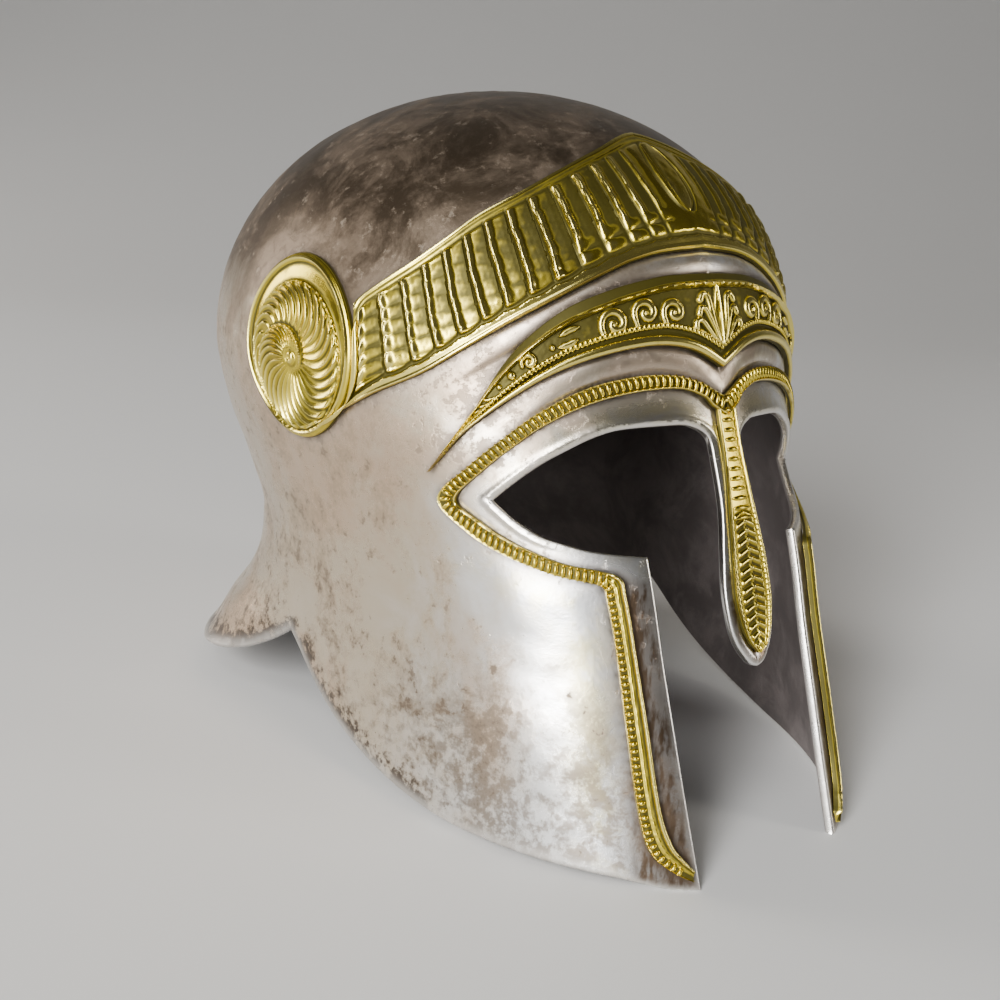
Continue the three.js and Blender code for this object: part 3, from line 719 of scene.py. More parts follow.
class Finish:
    """A procedural material under construction."""

    def __init__(self, name):
        self.material = bpy.data.materials.new(name)
        self.material.use_nodes = True
        self.tree = self.material.node_tree
        self.tree.nodes.clear()
        self.place = self.node("ShaderNodeTexCoord").out("Object")

    def node(self, kind, settings=None, inputs=()):
        """Adds a node of any type: its settings first, then the values or links of its sockets."""
        made = self.tree.nodes.new(kind)
        for key, value in (settings or {}).items():
            setattr(made, key, value)
        pairs = inputs.items() if isinstance(inputs, dict) else enumerate(inputs)
        for key, value in pairs:
            socket = made.inputs[key]
            if isinstance(value, Wire):
                self.tree.links.new(value.source, socket)
            else:
                socket.default_value = value
        return NodeMade(self, made)

    def noise(self, scale, detail, roughness=0.55, distortion=0.0, place=None):
        """Value noise between about 0 and 1."""
        inputs = {
            "Vector": place or self.place, "Scale": scale, "Detail": detail,
            "Roughness": roughness, "Distortion": distortion,
        }
        return self.node("ShaderNodeTexNoise", {}, inputs).out("Fac")

    def stretched(self, scale):
        """Object coordinates stretched by a scale on each axis."""
        return self.node("ShaderNodeMapping", {}, {"Vector": self.place, "Scale": scale}).out()

    def attribute(self, name):
        """A value stored on the piece's own points."""
        return self.node("ShaderNodeAttribute", {"attribute_name": name}).out("Fac")

    def axes(self, *names):
        """Object coordinates as values."""
        made = self.node("ShaderNodeSeparateXYZ", {}, {"Vector": self.place})
        return [made.out(name) for name in names]

    def mix(self, share, first, second):
        """One colour going over into another."""
        inputs = {MIX_SHARE: share}
        for socket, colour in ((MIX_FIRST, first), (MIX_SECOND, second)):
            inputs[socket] = colour if isinstance(colour, Wire) else (*colour, 1.0)
        return self.node("ShaderNodeMix", {"data_type": "RGBA"}, inputs).out(MIX_RESULT)

    def coats(self, ground, layers):
        """Lays colours over a ground one after another, each with the share of it that shows."""
        for share, colour in layers:
            ground = self.mix(share.kept(), ground, colour)
        return ground

    def bump(self, height, distance):
        """A normal tilted by a height, where a height of 1 stands for this many metres."""
        return self.node("ShaderNodeBump", {}, {"Height": height, "Distance": distance}).out()

    def shade(self, **sockets):
        """Ends the material in one shader with these sockets."""
        names = {key.replace("_", " "): value for key, value in sockets.items()}
        shader = self.node("ShaderNodeBsdfPrincipled", {}, names)
        self.node("ShaderNodeOutputMaterial", {}, {"Surface": shader.out()})
        return self.material


def antique_silver(look):
    """Antiqued silver: bright on the cheeks, brown-grey and mottled over the skull with tarnish and painted
    shade, dark grey inside.
    """
    finish = Finish("antique_silver")
    y, z = finish.axes("Y", "Z")
    cloud = finish.noise(13.0, 5.0, 0.62, 0.6)
    patch = finish.noise(42.0, 8.0, 0.70, 0.4)
    speck = finish.noise(230.0, 6.0, 0.72)
    grain = finish.noise(900.0, 3.0, 0.6)
    brushed = finish.noise(1.0, 4.0, 0.6, 0.0, finish.stretched((420.0, 420.0, 26.0)))
    scratch = finish.noise(1.0, 2.0, 0.5, 0.0, finish.stretched((90.0, 900.0, 1500.0)))
    inside, rim, seat, border, foot, glow, dome, brow = (finish.attribute(name) for name in SHELL_MARKS)

    # Over the skull above the band the tarnish is darkened with painted shade, standing in for the dark
    # surroundings that the crown reflects
    crown = (z + (cloud - 0.5) * 0.08 + (patch - 0.5) * 0.05 - y * 0.12).step(0.122, 0.160) * dome
    back = (y + (cloud - 0.5) * 0.09 + (patch - 0.5) * 0.05).step(-0.105, -0.050)
    blotch = (cloud * 0.25 + patch * 0.45 + speck * 0.30 + back * 0.080 + look.tarnish).step(0.555, 0.625)
    crust = (patch * 0.36 + speck * 0.64 + seat * 0.05 + back * 0.052 + look.tarnish).step(0.60, 0.65)
    low = (0.066 - z + (patch - 0.5) * 0.10 + (cloud - 0.5) * 0.08).step(0.0, 0.045)
    low_rim = low * (1.0 - y.step(0.03, 0.06) * 0.6)
    low_front = (0.032 - z + (patch - 0.5) * 0.03).step(0.0, 0.020) * (y + 0.02).step(-0.03, 0.0)
    speckled = low_rim * (speck * 0.6 + patch * 0.4).step(0.43, 0.55)
    speckled = speckled + low_front * (speck - 0.1).step(0.41, 0.48) * 0.5
    footed = (speck * 0.55 + patch * 0.45 + foot * 0.22).step(0.58, 0.66) * foot.step(0.05, 0.4)
    # Beside the gilding, a yellow tint of gilt smear and painted reflection of the gilding in the silver
    gilt_smear_and_reflection = glow * (patch * 0.5 + cloud * 0.5).step(0.44, 0.54) * (1.0 - back) * (1.0 - border)
    mottle = brow * (cloud * 0.4 + patch * 0.6).step(0.44, 0.58)
    edge_shine = rim * 0.55 * (1.0 - border) + border * rim ** 8 * 0.5

    silver = finish.mix(cloud.step(0.38, 0.60), look.silver, WARM_SILVER)
    cream = finish.mix(cloud.step(0.44, 0.58), CREAM, DEEP_CREAM)
    dark_crown_and_shade = finish.mix(patch.step(0.42, 0.62), CROWN_TARNISH_AND_SHADE, look.tarnish_colour)
    marked_crown_and_shade = finish.mix(speck.step(0.58, 0.70) * 0.30, dark_crown_and_shade, PALE_MARK)
    dusty_inside = finish.mix(patch.step(0.40, 0.65), look.inside, tuple(1.5 * part for part in look.inside))
    coloured = finish.coats(silver, (
        (back * (0.62 + patch * 0.5), cream),
        (gilt_smear_and_reflection * 0.75, GILT_SMEAR_AND_REFLECTION),
        (blotch * (0.30 + back * 0.35), BROWN_BLOTCH),
        (crust * 0.60 + speckled * 0.80, look.tarnish_colour),
        (footed * 0.9, BURNT_FOOT),
        (crown * (0.86 + speck * 0.30), marked_crown_and_shade),
        (mottle * 0.65, BROW_BROWN),
        # Beside the gilding the silver is browned by dirt and painted shade, and a narrow dark line of painted
        # contact shadow runs along the gilt's edge
        (seat * (0.20 + patch * 0.5) * (1.0 - crown * 0.95), SEAT_DIRT_AND_SHADE),
        (seat ** 6 * 0.9, SEAT_CONTACT_SHADOW),
        (border * (0.62 + brushed.step(0.40, 0.60) * 0.38), BRUSHED_BORDER),
        (edge_shine, POLISHED_EDGE),
        (inside, dusty_inside),
    ))

    stained = crown * 0.50 + brow * 0.15 + blotch * 0.22 + crust * 0.30 + speckled * 0.35
    dull = (stained + seat * 0.25 + back * 0.10).kept()
    rough = look.silver_roughness + dull * 0.26 + (patch - 0.5) * 0.12
    rough = rough + inside * 0.30 + border * brushed * 0.12
    metal = 1.0 - dull * 0.25 - inside * 0.60
    dents = cloud * 0.18 + patch * 0.14 + speck * 0.035 + grain * 0.008 + scratch * 0.010 - crust * 0.03
    return finish.shade(
        Base_Color=coloured,
        Metallic=metal.kept(),
        Roughness=rough.kept(0.12, 0.9),
        Normal=finish.bump(dents, 1.0 * MM),
    )


def antique_gilding(look):
    """Antiqued gilding: bright yellow crests over dark olive-brown hollows and painted shade."""
    finish = Finish("antique_gilding")
    cloud = finish.noise(30.0, 4.0, 0.6, 0.3)
    patch = finish.noise(160.0, 6.0, 0.65)
    grain = finish.noise(1100.0, 3.0, 0.6)
    relief = finish.attribute("relief")
    hollow_and_shade = finish.attribute("hollow_and_shade")

    # Dark recesses: the patina in the hollows, and the painted shade that the horn band and brow plate add to
    # the same attribute
    recess = (hollow_and_shade * 1.9 + (patch - 0.5) * 0.6 + look.recess).step(-0.02, 0.60)
    crest = (relief * 0.30 - hollow_and_shade * 2.2 + (cloud - 0.5) * 0.5).step(0.70, 1.60)
    gold = finish.mix(cloud.step(0.40, 0.62), look.gold, DEEP_GOLD)
    coloured = finish.coats(gold, (
        (crest * 0.85, CREST_GOLD),
        (patch.step(0.58, 0.70) * 0.40, RUBBED_GOLD),
        (recess * 0.95, look.recess_colour),
    ))

    rough = look.gold_roughness + recess * 0.26 + (patch - 0.5) * 0.14 - crest * 0.04
    return finish.shade(
        Base_Color=coloured,
        Metallic=(1.0 - recess * 0.35).kept(),
        Roughness=rough.kept(0.14, 0.9),
        Normal=finish.bump(patch * 0.12 + cloud * 0.25 + grain * 0.02, 0.6 * MM),
    )


def pale_floor(look):
    """Plain pale studio floor."""
    finish = Finish("pale_floor")
    cloud = finish.noise(1.5, 2.0)
    pale = finish.mix(cloud, look.floor, tuple(0.97 * part for part in look.floor))
    return finish.shade(Base_Color=pale, Roughness=0.7)


# What a user would change


class HelmetSizes(bpy.types.PropertyGroup):
    """Sizes of the relief."""

    rib_height: bpy.props.FloatProperty(
        name="Rib height", description="How far the horn band's ribs stand over their valleys",
        default=1.9 * MM, min=0.0, max=4 * MM, unit="LENGTH",
    )
    ornament_height: bpy.props.FloatProperty(
        name="Ornament height", description="How far the brow plate's scrolls stand over their ground",
        default=1.35 * MM, min=0.0, max=3 * MM, unit="LENGTH",
    )
    bar_spacing: bpy.props.FloatProperty(
        name="Bar spacing", description="Distance between the bars of the eye trim",
        default=2.1 * MM, min=1 * MM, max=8 * MM, unit="LENGTH",
    )
    dent_depth: bpy.props.FloatProperty(
        name="Dent depth", description="Depth of the hammered unevenness of the shell",
        default=0.15 * MM, min=0.0, max=1 * MM, unit="LENGTH",
    )
    spiral_ribs: bpy.props.IntProperty(
        name="Spiral ribs", description="Ribs round the outer whorl of each temple spiral",
        default=27, min=8, max=60,
    )


class HelmetLook(bpy.types.PropertyGroup):
    """Colours and wear of the two metals."""

    silver: bpy.props.FloatVectorProperty(
        name="Silver", description="Colour of the polished silver", subtype="COLOR",
        default=(0.92, 0.93, 0.935), min=0, max=1,
    )
    tarnish_colour: bpy.props.FloatVectorProperty(
        name="Tarnish", description="Colour of the brown-grey tarnish", subtype="COLOR",
        default=(0.175, 0.132, 0.094), min=0, max=1,
    )
    inside: bpy.props.FloatVectorProperty(
        name="Inside", description="Colour of the dark inner face", subtype="COLOR",
        default=(0.135, 0.115, 0.110), min=0, max=1,
    )
    gold: bpy.props.FloatVectorProperty(
        name="Gilding", description="Colour of the gilding", subtype="COLOR",
        default=(0.72, 0.57, 0.062), min=0, max=1,
    )
    recess_colour: bpy.props.FloatVectorProperty(
        name="Recesses", description="Colour in the hollows of the gilding", subtype="COLOR",
        default=(0.046, 0.040, 0.005), min=0, max=1,
    )
    floor: bpy.props.FloatVectorProperty(
        name="Floor", description="Colour of the studio floor", subtype="COLOR",
        default=(0.74, 0.735, 0.72), min=0, max=1,
    )
    tarnish: bpy.props.FloatProperty(
        name="Tarnish amount", description="How much of the silver is tarnished",
        default=0.0, min=-0.3, max=0.3,
    )
    recess: bpy.props.FloatProperty(
        name="Recess amount", description="How far the dark spreads out of the hollows",
        default=0.0, min=-1, max=1,
    )
    silver_roughness: bpy.props.FloatProperty(
        name="Silver roughness", description="Roughness of the polished silver",
        default=0.24, min=0, max=1, subtype="FACTOR",
    )
    gold_roughness: bpy.props.FloatProperty(
        name="Gilding roughness", description="Roughness of the bright gilding",
        default=0.24, min=0, max=1, subtype="FACTOR",
    )


def shared_material(build, look):
    """The material of that name, made the first time it is asked for."""
    return bpy.data.materials.get(build.__name__) or build(look)


# Shell


def shell_edge():
    """Free edge of the right half, from the nasal's tip round the face and the rim to the back."""
    nasal = [(float(angle_at_half_width(half, z)), z) for z, half in reversed(NASAL)]
    inner = smooth_run(nasal + list(reversed(EYE_TOP)), EDGE_SPACING)
    corner = (float(angle_at_half_width(CHEEK_GAP_TOP, CHEEK_TOP)), CHEEK_TOP)
    under_eye = smooth_run(list(reversed(EYE_BOTTOM)) + [corner], EDGE_SPACING)
    z = np.linspace(CHEEK_TOP, CHEEK_RIM[0][1], 80)
    gap = np.interp(z, [CHEEK_RIM[0][1], CHEEK_TOP], [CHEEK_GAP_TIP, CHEEK_GAP_TOP])
    cheek = evenly_spaced(np.stack([angle_at_half_width(gap, z), z], axis=1), EDGE_SPACING)

    def rim(table, start, end):
        angle = np.linspace(start, end, 300)
        return evenly_spaced(np.stack([angle, curve(table, angle)], axis=1), EDGE_SPACING)

    cheek_rim = rim(CHEEK_RIM, cheek[-1, 0], NOTCH_ANGLE)
    guard_rim = rim(GUARD_RIM, NOTCH_ANGLE, 180.0)
    return np.concatenate([inner[:-1], under_eye[:-1], cheek[:-1], cheek_rim[:-1], guard_rim])


def edge_directions(edge):
    """At each point of the edge: the point, the outward direction, and the way into the sheet."""
    points = skin(edge[:, 0], edge[:, 1])
    n = outward(edge[:, 0], edge[:, 1])
    step = np.diff(points, axis=0)
    step /= np.linalg.norm(step, axis=1, keepdims=True)
    before = np.concatenate([step[:1], step])
    after = np.concatenate([step, step[-1:]])
    into_before, into_after = np.cross(before, n), np.cross(after, n)
    blend = into_before + into_after
    into = blend / np.maximum(1 + (into_before * into_after).sum(1, keepdims=True), 0.35)
    into[[0, -1], 0] = 0.0
    return points, n, into


def inset_edge(edge, into, distance):
    """The edge moved into the sheet, as angle and height."""
    probe = 0.3
    angle, z = edge[:, 0], edge[:, 1]
    by_angle = (skin(angle + probe, z) - skin(angle - probe, z)) / (2 * probe)
    by_height = (skin(angle, z + probe) - skin(angle, z - probe)) / (2 * probe)
    aa, ab, bb = (by_angle ** 2).sum(1), (by_angle * by_height).sum(1), (by_height ** 2).sum(1)
    pa, pb = (by_angle * into).sum(1), (by_height * into).sum(1)
    det = aa * bb - ab * ab
    moved = np.stack([(pa * bb - pb * ab) / det, (pb * aa - pa * ab) / det], axis=1)
    return edge + distance * moved


def in_outline(points, outline):
    """Which points lie inside a closed outline, by counting the sides crossed on the way out."""
    inside = np.zeros(len(points), bool)
    x, y = points[:, 0], points[:, 1]
    for (x0, y0), (x1, y1) in zip(outline, np.roll(outline, -1, axis=0)):
        if y0 == y1:
            continue
        crosses = (y0 > y) != (y1 > y)
        inside ^= crosses & (x < x0 + (y - y0) * (x1 - x0) / (y1 - y0))
    return inside


def lattice(low, high, spacing):
    """Evenly spread points over the flat sheet, fewer toward the crown."""
    rows = []
    for k, y in enumerate(np.arange(low[1] + spacing, high[1] - 0.4 * spacing, spacing * ROW_SHARE)):
        narrowing = max(math.cos(y / SKULL_RISE), 0.04) if y > 0 else 1.0
        count = max(int((high[0] - low[0]) * narrowing / spacing), 5)
        x = low[0] + (high[0] - low[0]) * (np.arange(count - 1) + (1.0 if k % 2 else 0.75)) / count
        rows.append(np.stack([x, np.full(len(x), y)], axis=1))
    return np.concatenate(rows)


def fill_sheet(outline, spacing, fine_spacing=None):
    """Triangulates the flat sheet inside its outline. Returns its points and triangles."""
    low, high = outline.min(0), outline.max(0)
    inner = lattice(low, high, spacing)
    away = distance_to([outline], inner)
    kept = away > EDGE_MARGIN
    if fine_spacing:
        kept &= ~fine_zone(inner[:, 0] / FLAT_SCALE, height_of(inner[:, 1]), away)
        finer = lattice(low, (FINE_ANGLE * FLAT_SCALE, climb_of(FINE_TOP)), fine_spacing)
        away = distance_to([outline], finer)
        wanted = fine_zone(finer[:, 0] / FLAT_SCALE, height_of(finer[:, 1]), away) & (away > FINE_MARGIN)
        inner = np.concatenate([inner[kept], finer[wanted]])
    else:
        inner = inner[kept]
    inner = inner[in_outline(inner, outline)]
    count = len(outline)
    edges = [(k, (k + 1) % count) for k in range(count)]
    points = [Vector(p) for p in np.concatenate([outline, inner]).tolist()]
    found = delaunay_2d_cdt(points, edges, [], 0, 1e-6, False)
    flat = np.array([tuple(p) for p in found[0]])
    triangles = np.array(found[2])
    return flat, triangles[in_outline(flat[triangles].mean(axis=1), outline)]


def distance_to(lines, flat):
    """Distance from each flat point to the nearest point of some lines."""
    nearest = np.full(len(flat), np.inf)
    line = np.concatenate(lines)
    blocks = 60
    for block in np.array_split(np.arange(len(flat)), blocks):
        nearest[block] = np.linalg.norm(flat[block][:, None] - line[None], axis=-1).min(axis=1)
    return nearest


def gilt_outlines():
    """Edges of the gilt pieces on the right half, on the flat sheet, for the dirt along them."""
    lines = []
    for table, end in ((BAND_TOP, 60), (BAND_BOTTOM, 62)):
        a = np.linspace(0, end, 90)
        lines.append(np.stack([a, curve(table, a)], 1))
    turn = np.linspace(0, 2 * math.pi, 120)
    lines.append(np.stack(
        [SPIRAL_ANGLE + SPIRAL_SPREAD * np.cos(turn), SPIRAL_LEVEL + SPIRAL_RISE * np.sin(turn)], 1
    ))
    for stations in (BROW_STATIONS, TRIM_STATIONS):
        rows = along_path(stations, np.linspace(0, len(stations) - 1, 160))
        lines += [rows[:, :2], rows[:, 2:]]
    return [np.stack([line[:, 0] * FLAT_SCALE, climb_of(line[:, 1])], 1) for line in lines]


def below_edge(table, angle, z):
    """How far places lie below an edge given as angle and height, square to it, in mm."""
    a = np.clip(np.abs(angle), table[0][0], table[-1][0])
    slope = (curve(table, a + 0.5) - curve(table, a - 0.5)) / DRAWN_SCALE
    return (curve(table, a) - z) / np.sqrt(1 + slope ** 2)


def shell_relief(angle, z, edge_away):
    """Rise of the silver mouldings: below the band, below the brow plate, and along the face's edge."""
    rise = 0.0
    for edge, middle, half, height, fade, gone in MOULDINGS:
        shown = 1 - ease((angle - fade) / (gone - fade))
        rise = rise + ridge(below_edge(edge, angle, z), middle, half, height) * shown
    nasal = 1 - ease((angle - 7.5) / 2)
    over_cheek = ease((z - CHEEK_TOP - 1) / 3)
    on_face = (1 - ease((angle - 60) / 10)) * ease((-8 - z) / 10) * np.maximum(nasal, over_cheek)
    return rise + 0.42 * np.exp(-(((edge_away - 0.9) / 0.9) ** 2)) * on_face


def fine_zone(angle, z, edge_away):
    """Where the shell's face needs a fine mesh: on its mouldings and along the face's edge."""
    wanted = (edge_away < 4.0) & (angle < 72) & (z < -8)
    for edge, _, _, _, _, gone in MOULDINGS:
        below = below_edge(edge, angle, z)
        wanted |= (below > -0.8) & (below < 8) & (angle < gone + 2)
    return wanted


def foot_mark(angle, z):
    """Dirt low on the cheek guard, away from its front."""
    return ease((-80 - z) / 14) * ease((angle - 34) / 22)


def face_marks(angle, z, edge_away, gilt_away, inside):
    """The marks on one face of the shell."""
    above = z - (curve(BAND_TOP, angle) + curve(BAND_BOTTOM, angle)) / 2
    return {
        "inside": np.full(len(angle), inside),
        "rim": np.exp(-((edge_away / 2.2) ** 2)),
        # Nearness to the gilding, which carries its dirt and its painted contact shadow
        "seat": np.exp(-((gilt_away / 3.0) ** 2)),
        "border": ease((19.5 - angle) / 2) * ease((CHEEK_TOP - 4 - z) / 4) * ease((17 - edge_away) / 3),
        "foot": foot_mark(angle, z) * np.exp(-edge_away / 9),
        # A band a few mm from the gilding, where the gilt smear and painted gilt reflection go
        "glow": np.exp(-(((gilt_away - 7.0) / 5.5) ** 2)),
        "dome": np.maximum(ease((above + 2) / 4), ease((angle - 60) / 6)),
        "brow": ease((-above - 3) / 4) * ease((z + 12) / 8) * ease((44 - angle) / 16),
    }


def rounded_rows(points, out, into):
    """Rows of points round the shell's edge, from its outer face to its inner one, with their marks."""
    rows = []
    for side, depth in ((1.0, EDGE_ROUND), (-1.0, WALL - EDGE_ROUND)):
        middle = points + EDGE_ROUND * into - depth * out
        arc = [
            middle - EDGE_ROUND * into * math.sin(turn) + side * EDGE_ROUND * out * math.cos(turn)
            for turn in np.radians([30.0, 60.0, 90.0])
        ]
        rows += arc if side > 0 else arc[::-1]
    for row in rows:
        row[[0, -1], 0] = 0.0
    return rows


def with_other_half(points, quads, triangles, attributes):
    """Joins the right half of the shell to its mirror image along the middle, one point for each crown."""
    one = np.arange(len(points))
    for level in (SKULL_RISE, SKULL_RISE - WALL):
        same = np.flatnonzero((np.abs(points[:, 0]) + np.abs(points[:, 1]) < 1e-6) & (points[:, 2] == level))
        one[same] = same[0]
    other = np.where(np.abs(points[:, 0]) < 1e-6, one, one + len(points))
    quads = np.concatenate([one[quads], other[quads][:, ::-1]])
    triangles = np.concatenate([one[triangles], other[triangles][:, ::-1]])
    real = (triangles != np.roll(triangles, 1, axis=1)).all(axis=1)
    triangles = triangles[real]
    both = np.concatenate([points, points * (-1.0, 1.0, 1.0)])
    used = np.unique(np.concatenate([quads.ravel(), triangles.ravel()]))
    renumber = np.full(len(both), -1)
    renumber[used] = np.arange(len(used))
    attributes = {key: np.concatenate([value, value])[used] for key, value in attributes.items()}
    return both[used], renumber[quads], renumber[triangles], attributes


class HELMET_OT_shell(bpy.types.Operator):
    """Build the silvered shell with its rounded edges and hammered face"""

    bl_idname = "helmet.shell"
    bl_label = "Shell"

    def execute(self, context):
        sizes = context.scene.helmet_sizes
        edge = shell_edge()
        edge_points, edge_out, edge_into = edge_directions(edge)
        inset = inset_edge(edge, edge_into, EDGE_ROUND)
        inset[0, 0], inset[-1, 0] = 0.0, 180.0
        top = float(climb_of(SKULL_RISE))

        # The outline on the flat sheet: the free edge, up the back, along the crown and down the front
        back = np.arange(float(climb_of(inset[-1, 1])) + OUTER_SPACING, top - 1.0, OUTER_SPACING)
        front = np.arange(top - OUTER_SPACING, float(climb_of(inset[0, 1])) + 1.0, -OUTER_SPACING)
        crown = np.linspace(180.0, 0.0, 7)
        free_flat = np.stack([inset[:, 0] * FLAT_SCALE, climb_of(inset[:, 1])], axis=1)
        outline = np.concatenate([
            free_flat,
            np.stack([np.full(len(back), 180.0 * FLAT_SCALE), back], axis=1),
            np.stack([crown * FLAT_SCALE, np.full(len(crown), top)], axis=1),
            np.stack([np.zeros(len(front)), front], axis=1),
        ])

        points, triangles, marks, starts = [], [], [], []
        total = 0
        for spacing, fine, depth in ((OUTER_SPACING, FINE_SPACING, 0.0), (INNER_SPACING, None, WALL)):
            flat, faces = fill_sheet(outline, spacing, fine)
            angle, z = flat[:, 0] / FLAT_SCALE, height_of(flat[:, 1])
            edge_away = distance_to([free_flat], flat)
            if depth == 0.0:
                gilt_away = distance_to(gilt_outlines(), flat)
                fade = ease((edge_away - 2) / 10) * ease((gilt_away - 1) / 8)
                across, up = flat[:, 0], flat[:, 1]
                dents = wobble(across, up, 3, 34) + 0.35 * wobble(across, up, 8, 13)
                moulded = shell_relief(angle, z, edge_away) * ease(edge_away / 0.9)
                lift = dents * fade * sizes.dent_depth / MM + moulded
                faces = faces[:, ::-1]
            else:
                gilt_away = np.full(len(flat), 99.0)
                lift = np.full(len(flat), -depth)
            placed = lifted(angle, z, lift)
            placed[flat[:, 1] > top - 1e-4] = (0.0, 0.0, SKULL_RISE - depth)
            on_seam = (flat[:, 0] < 1e-4) | (flat[:, 0] > 180 * FLAT_SCALE - 1e-4)
            placed[on_seam, 0] = 0.0
            points.append(placed)
            triangles.append(faces + total)
            marks.append(face_marks(angle, z, edge_away, gilt_away, 0.0 if depth == 0.0 else 1.0))
            starts.append(total)
            total += len(flat)

        # The sheet's first points are the edge's own, in order, on both faces
        count = len(edge)
        rows = [starts[0] + np.arange(count)]
        none = np.zeros(count)
        for k, row in enumerate(rounded_rows(edge_points, edge_out, edge_into)):
            points.append(row)
            rows.append(total + np.arange(count))
            total += count
            marks.append({
                **dict.fromkeys(SHELL_MARKS, none), "inside": none + (0.0 if k < 4 else 0.8),
                "rim": none + 1.0, "foot": foot_mark(edge[:, 0], edge[:, 1]),
            })
        rows.append(starts[1] + np.arange(count))
        quads = [
            np.stack([upper[:-1], upper[1:], lower[1:], lower[:-1]], axis=-1)
            for upper, lower in zip(rows[:-1], rows[1:])
        ]
        attributes = {key: np.concatenate([part[key] for part in marks]) for key in SHELL_MARKS}
        points, *rest = with_other_half(
            np.concatenate(points), np.concatenate(quads), np.concatenate(triangles), attributes
        )
        shell = make_mesh("shell", standing(points), *rest, crease=70.0)
        silver = shared_material(antique_silver, context.scene.helmet_look)
        put_on(shell, silver, "silvered_steel", "helmet_shell")
        return {"FINISHED"}


# Horn band


def band_place(rib, t):
    """Angle and height on the band: rib counts from the right temple, t goes from its top to its bottom."""
    from_temple = RIB_COUNT - np.abs(RIB_COUNT - rib)
    side = np.where(rib <= RIB_COUNT, 1.0, -1.0)
    top = curve(BAND_RIBS, from_temple, 1)
    bottom = curve(BAND_RIBS, from_temple, 2)
    tuck = (1 - ease(from_temple / TUCK_RIBS)) * np.sin(math.pi * t)
    angle = top + (bottom - top) * t + TUCK_ANGLE * tuck
    z_top, z_bottom = curve(BAND_TOP, top), curve(BAND_BOTTOM, bottom)
    return side * angle, z_top + (z_bottom - z_top) * t + TUCK_HEIGHT * tuck


def rib_phase(from_temple, t):
    """Place along the band with the ribs' bends taken out, the rib each place is in, and how far into it."""
    bend = 0.035 * np.sin(2 * math.pi * (1.1 * t + 0.13 * from_temple))
    bend += 0.012 * np.sin(23 * t + 1.7 * from_temple)
    at = from_temple + bend * ease(t / 0.2) * ease((1 - t) / 0.2)
    cell = np.clip(np.floor(at), 0, RIB_COUNT).astype(int)
    return at, cell, at - cell


def band_height(sizes):
    """Rise of the band's face: plain rails, ribs with one steep side, rows of scales, and the almond."""
    crest = sizes.rib_height / MM
    own_phase = np.random.default_rng(5).uniform(0, 1, (3, RIB_COUNT + 2))

    def height(rib, t, angle, z):
        middle = np.abs(RIB_COUNT - rib)
        from_temple = RIB_COUNT - middle
        near_middle = ease((6.5 - middle) / 6.5)
        at, cell, phase = rib_phase(from_temple, t)
        own = own_phase[:, cell]
        # Each rib rises steeply out of its groove to a crest, then falls to a nearly flat run to the next one
        climb = ease(phase / 0.17)
        away = phase - RIB_CREST
        crested = np.exp(-((away / np.where(away < 0, 0.14, 0.17)) ** 2))
        flat = 0.26 + 0.10 * np.sin(math.pi * np.clip((phase - 0.15) / 0.85, 0, 1))
        # Stacked rings across the rib, strongest toward the temple
        turn = RIB_RINGS * t - 0.30 * phase + 0.35 * own[0] + 0.08 * np.sin(9 * t + 6 * own[1])
        bulge = np.abs(np.sin(math.pi * turn)) ** 0.7
        near_temple = 1 - ease(from_temple / 6.5)
        beaded = crested * (0.12 + 0.10 * near_temple) * (bulge - 0.6)
        low_wrinkle = 0.05 * ease((t - 0.5) / 0.3) * (1 - near_middle)
        wrinkled = (0.045 + 0.15 * near_temple + low_wrinkle) * (bulge - 0.6)
        body = climb * (flat + 0.58 * crested + beaded + wrinkled)
        x = angle * DRAWN_SCALE
        body += 0.018 * wobble(x, z, 12, 2.6) * climb
        wide = (1 - 0.30 * near_middle) * (1 - 0.45 * ease((3.6 - middle) / 1.6))
        roll = 0.95 * np.sqrt(np.clip(1 - ((from_temple - 0.50) / 0.44) ** 2, 0, 1))
        first = ease((1.0 - from_temple) / 0.06)
        ribs = crest * wide * (body * (1 - first) + roll * first)
        # Rows of rounded scales near the middle of the lower edge
        scale_zone = ease((t - 0.60) / 0.10) * ease((6.8 - middle) / 1.2)
        row = (t - 0.62) / 0.125
        scale = np.abs(np.sin(math.pi * row) * np.sin(math.pi * phase)) ** 0.7
        ribs = ribs * (1 - 0.70 * scale_zone) + 0.75 * scale * scale_zone
        # The almond is smooth inside a fine cut line, and the ground beside it carries a few soft folds
        level = np.abs(z - ALMOND_LEVEL)
        width = ridge(level, 0.0, ALMOND_HALF_HEIGHT, ALMOND_HALF_WIDTH)
        off = np.abs(x) * 0.82
        almond = ease((width - off) / 2.6)
        inside_ends = ease((ALMOND_HALF_HEIGHT + 0.1 - level) / 0.8)
        cut = np.exp(-(((off - width) / 0.50) ** 2)) * inside_ends
        second = np.exp(-(((off - 0.62 * width) / 0.35) ** 2)) * inside_ends
        plain = ease((1.75 - middle) / 0.7)
        centre = 0.80 + 0.55 * almond + 0.05 * wobble(x, z, 14, 4.0)
        field = ribs * (1 - plain) + centre * plain - (0.85 * cut + 0.30 * second) * plain
        # Rails
        scallop = 0.016 * np.abs(np.sin(math.pi * at)) * (1 - 0.6 * near_middle)
        bottom_rail = BOTTOM_RAIL + scallop
        shoulder = ease((t - TOP_RAIL) / 0.05) * ease((bottom_rail - t) / 0.03)
        ground = 0.75 + field * shoulder
        upper = 0.45 * ease((TOP_RAIL + 0.02 - t) / 0.03) + ridge(t, 0.018, 0.022, 0.35)
        down_rail = (t - bottom_rail) / (1 - bottom_rail)
        lower = ease((t - bottom_rail - 0.012) / 0.022) * (1.25 - 0.55 * down_rail)
        lip = ridge(t, 0.978, 0.018, 0.35)
        edge = ease(t / 0.02) * ease((1 - t) / 0.015)
        ends = ease(from_temple / 0.12)
        return 0.35 + (ground - 0.35 + upper + lower + lip) * edge * (0.25 + 0.75 * ends)

    return height


